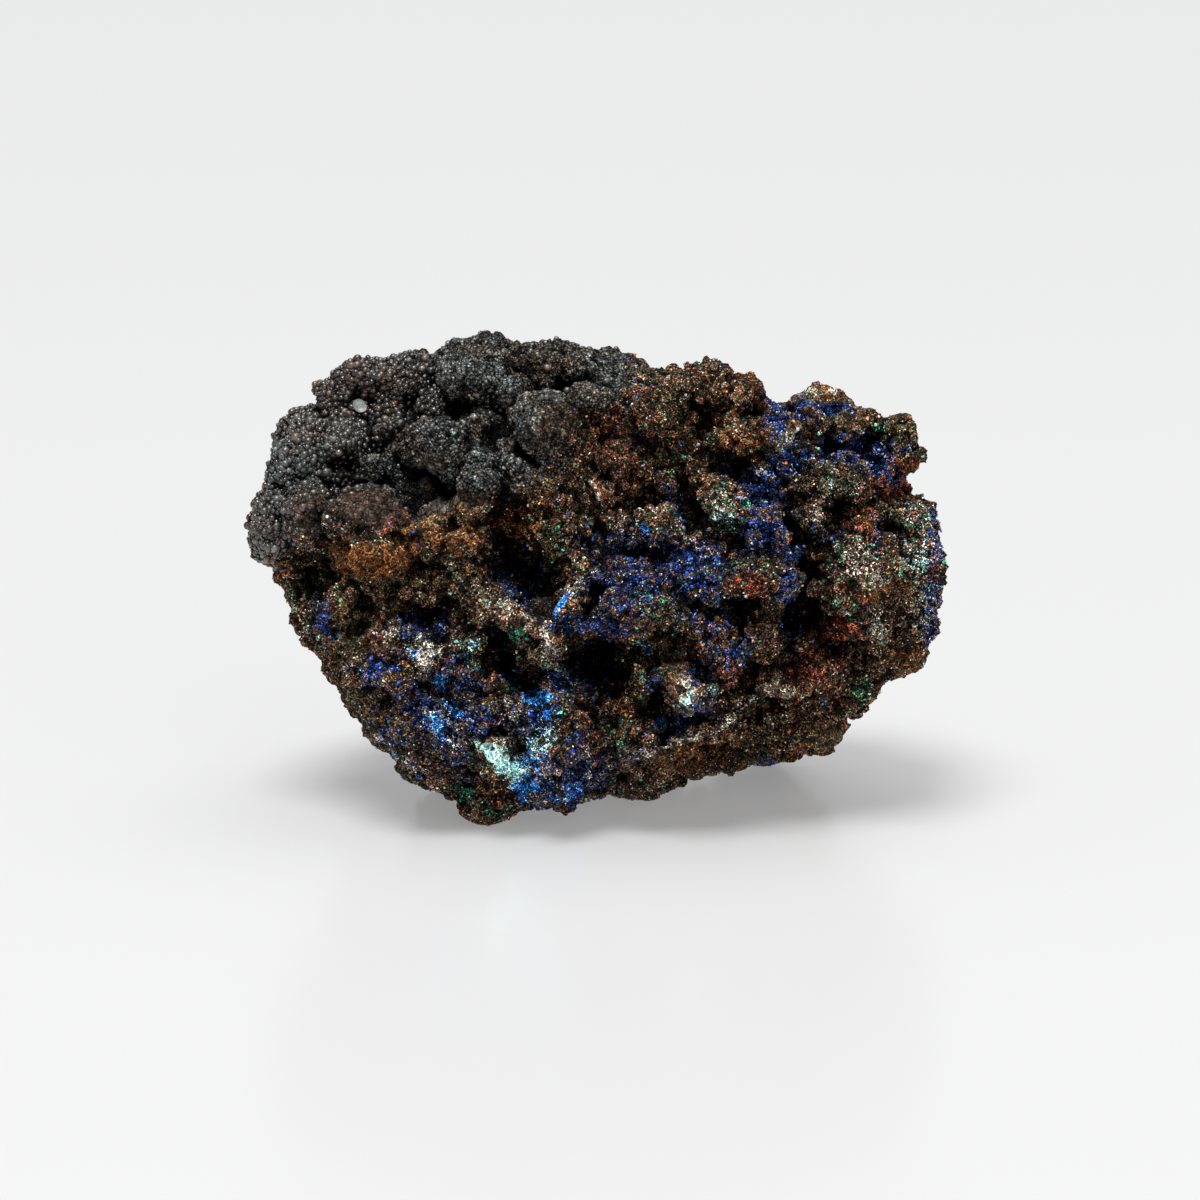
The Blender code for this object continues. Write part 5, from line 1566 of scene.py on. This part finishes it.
@dataclass
class GoethiteBeads:
    """The round beads that cover the dark crust."""

    surface: RockSurface
    sunk: float = 0.10

    def large(self) -> bpy.types.Object:
        """The large beads, mostly where the crust is all beads."""
        masks = self.surface.masks
        density = masks["crust"] ** 2 * (0.01 + masks["beaded"]) * (1 - 0.9 * masks["calm"])
        return self.beads("goethite_beads", density, LARGE_BEADS)

    def small(self) -> bpy.types.Object:
        """The small beads, all over the crust."""
        masks = self.surface.masks
        density = masks["crust"] ** 2 * np.clip(masks["shade"], 0.05, 1.2) * (1 - masks["calm"])
        density *= 0.14 + masks["beaded"]
        return self.beads("goethite_beads_small", density, SMALL_BEADS)

    def beads(self, name: str, density: np.ndarray, kind: BeadKind) -> bpy.types.Object:
        """One piece of beads.

        Args:
            name: The piece's name.
            density: How thickly they lie, for each vertex of the rock.
            kind: What beads they are.

        Returns:
            The piece.
        """
        random = np.random.default_rng(kind.seed)
        smallest, largest = kind.sizes
        spots = self.surface.scatter(density, kind.count, kind.gap, random)
        number = len(spots.points)
        size = smallest + (largest - smallest) * random.random(number) ** 1.5
        spots = spots._replace(points=spots.points - spots.normals * (self.sunk * size)[:, None])
        darkest, more = BEAD_TONE
        tints = PALETTES[Mineral.CRUST].at(darkest + more * clustered(spots, Seed.BEAD_TINT, random))
        # the rock's painted shade laid on the beads
        tints = with_painted_shade(varied(tints * CRUST_HUES.at(spots.masks["warmth"]), random, 0.15), spots)
        sizes = size[:, None] * random.uniform(*kind.stretch, (number, 3))
        axes = turned_axes(spots.normals, 0.4, random)
        shapes = [bead_shape(seed, kind.subdivisions) for seed in (1, 2)]
        return joined_copies(name, shapes, spots, sizes, axes, tints, True)


@dataclass
class PaleFlake:
    """The single pale flake that lies on the dark crust."""

    surface: RockSurface
    across: float = -23.7
    up: float = 42.2
    width: float = 1.2
    thickness: float = 0.16
    lift: float = 0.45

    def build(self) -> bpy.types.Object:
        """Models the flake and lays it on the crust."""
        bpy.ops.object.select_all(action="DESELECT")
        bpy.ops.mesh.primitive_cylinder_add(vertices=14, radius=0.5, depth=1.0)
        edit_all()
        flake = take_shape(roughened(0.04, 3))
        seen = self.surface.face.seen(self.surface.points)
        near = np.hypot(seen[:, 0] - self.across, seen[:, 1] - self.up) < 0.5 * self.width
        top = np.flatnonzero(near)[np.argmax(seen[near, 2])]
        way = 0.3 * self.surface.normals[top] + self.surface.face.towards_viewer()
        way /= np.linalg.norm(way)
        spots = Spots(self.surface.points[[top]] + self.lift * way, way[None], {})
        sizes = np.array([[self.width, 1.25 * self.width, self.thickness]])
        axes = turned_axes(spots.normals, 0.1, np.random.default_rng(51))
        tints = np.array([[0.38, 0.40, 0.39]])
        return joined_copies("pale_flake", [flake], spots, sizes, axes, tints, False)


SUNS = (  # each one's name, the way to it, its spread in degrees and its strength
    ("key", (-0.16, -0.32, 1.0), 26.0, 2.8),
    ("top", (0.20, 0.30, 1.0), 50.0, 1.0),
    ("fill", (0.45, -1.0, 0.60), 40.0, 0.5),
)
TABLE_GREY = 0.50
TABLE_ROUGHNESS = 0.22
TABLE_GLOW = 0.255
ROOM_COLOUR = (0.97, 0.98, 1.0, 1)
ROOM_STRENGTH = 0.31


@dataclass
class Studio:
    """The plain pale floor, the soft lights and the camera."""

    face: FacePlane
    floor_size: float = 5.0

    def build(self) -> None:
        """Sets up everything that isn't the specimen."""
        self.floor()
        self.camera()
        self.world()
        for name, way, spread, strength in SUNS:
            self.sun(name, Vector(way), spread, strength)

    def floor(self) -> None:
        """A large pale glossy table top."""
        bpy.ops.object.select_all(action="DESELECT")
        bpy.ops.mesh.primitive_plane_add(size=self.floor_size)
        floor = bpy.context.object
        floor.name = "table_top"
        material = bpy.data.materials.new("pale_table")
        material.use_nodes = True
        shader = material.node_tree.nodes["Principled BSDF"]
        shader.inputs["Base Color"].default_value = (TABLE_GREY, TABLE_GREY, TABLE_GREY, 1)
        shader.inputs["Roughness"].default_value = TABLE_ROUGHNESS
        shader.inputs["Emission Color"].default_value = (1, 1, 1, 1)
        shader.inputs["Emission Strength"].default_value = TABLE_GLOW
        floor.data.materials.append(material)

    def camera(self) -> None:
        """The camera that sees the face square on."""
        data = bpy.data.cameras.new("camera")
        camera = bpy.data.objects.new("camera", data)
        bpy.context.scene.collection.objects.link(camera)
        target = Vector(self.face.target()) * MM
        back = Vector(self.face.towards_viewer())
        camera.location = target + back * self.face.viewing_distance * MM
        camera.rotation_euler = back.to_track_quat("Z", "Y").to_euler()
        half = self.face.seen_width / 2 / self.face.viewing_distance
        data.sensor_width = 36.0
        data.lens = data.sensor_width / 2 / half
        data.clip_start = 0.01
        bpy.context.scene.camera = camera

    @staticmethod
    def world() -> None:
        """Even pale light from all round."""
        world = bpy.data.worlds.new("pale_room")
        world.use_nodes = True
        background = world.node_tree.nodes["Background"]
        background.inputs["Color"].default_value = ROOM_COLOUR
        background.inputs["Strength"].default_value = ROOM_STRENGTH
        bpy.context.scene.world = world
        bpy.context.scene.view_settings.view_transform = "Standard"

    @staticmethod
    def sun(name: str, way: Vector, spread: float, strength: float) -> None:
        """A soft even light that comes from one way, over an angle in degrees."""
        data = bpy.data.lights.new(name, "SUN")
        data.energy = strength
        data.angle = math.radians(spread)
        lamp = bpy.data.objects.new(name, data)
        lamp.rotation_euler = way.to_track_quat("Z", "Y").to_euler()
        bpy.context.scene.collection.objects.link(lamp)


def dress(piece: bpy.types.Object, material: bpy.types.Material) -> None:
    """Gives a piece its finish and fixes it to the frame."""
    piece.data.materials.append(material)
    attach(piece, BODY)
    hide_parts(SOLID)
    LOG.info("%s: %d triangles", piece.name, sum(len(face.vertices) - 2 for face in piece.data.polygons))


def main() -> None:
    """Builds the specimen and its studio."""
    logging.basicConfig(level=logging.INFO, format="%(name)s: %(message)s")
    noise.seed_set(NOISE_SEED)
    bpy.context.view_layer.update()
    minerals = MineralMap()
    grain_cells = grain_cells_group()
    rock = Lump(minerals).build()
    dress(rock, RockFinish().material(grain_cells))
    surface = RockSurface(rock, minerals.face)
    crystal = GrainFinish("azurite_crystal", 0.22, 1.73, 0.32, 1.5).material(grain_cells)
    druse = AzuriteDruse(surface)
    dress(druse.blocky(), crystal)
    dress(druse.fine(), crystal)
    grain = GrainFinish("mineral_grain", 0.55, 1.5, 0.12).material(grain_cells)
    grains = MineralGrains(surface)
    dress(grains.coarse(), grain)
    dress(grains.fine(), grain)
    bead = GrainFinish("goethite_bead", 0.27, 1.6, 0.8, 1.2, 0.0).material(grain_cells)
    beads = GoethiteBeads(surface)
    dress(beads.large(), bead)
    dress(beads.small(), bead)
    flake = GrainFinish("pale_flake", 0.4, 1.5, 0.4, 1.0, 0.0).material(grain_cells)
    dress(PaleFlake(surface).build(), flake)
    Studio(minerals.face).build()


if __name__ == "__main__":
    main()
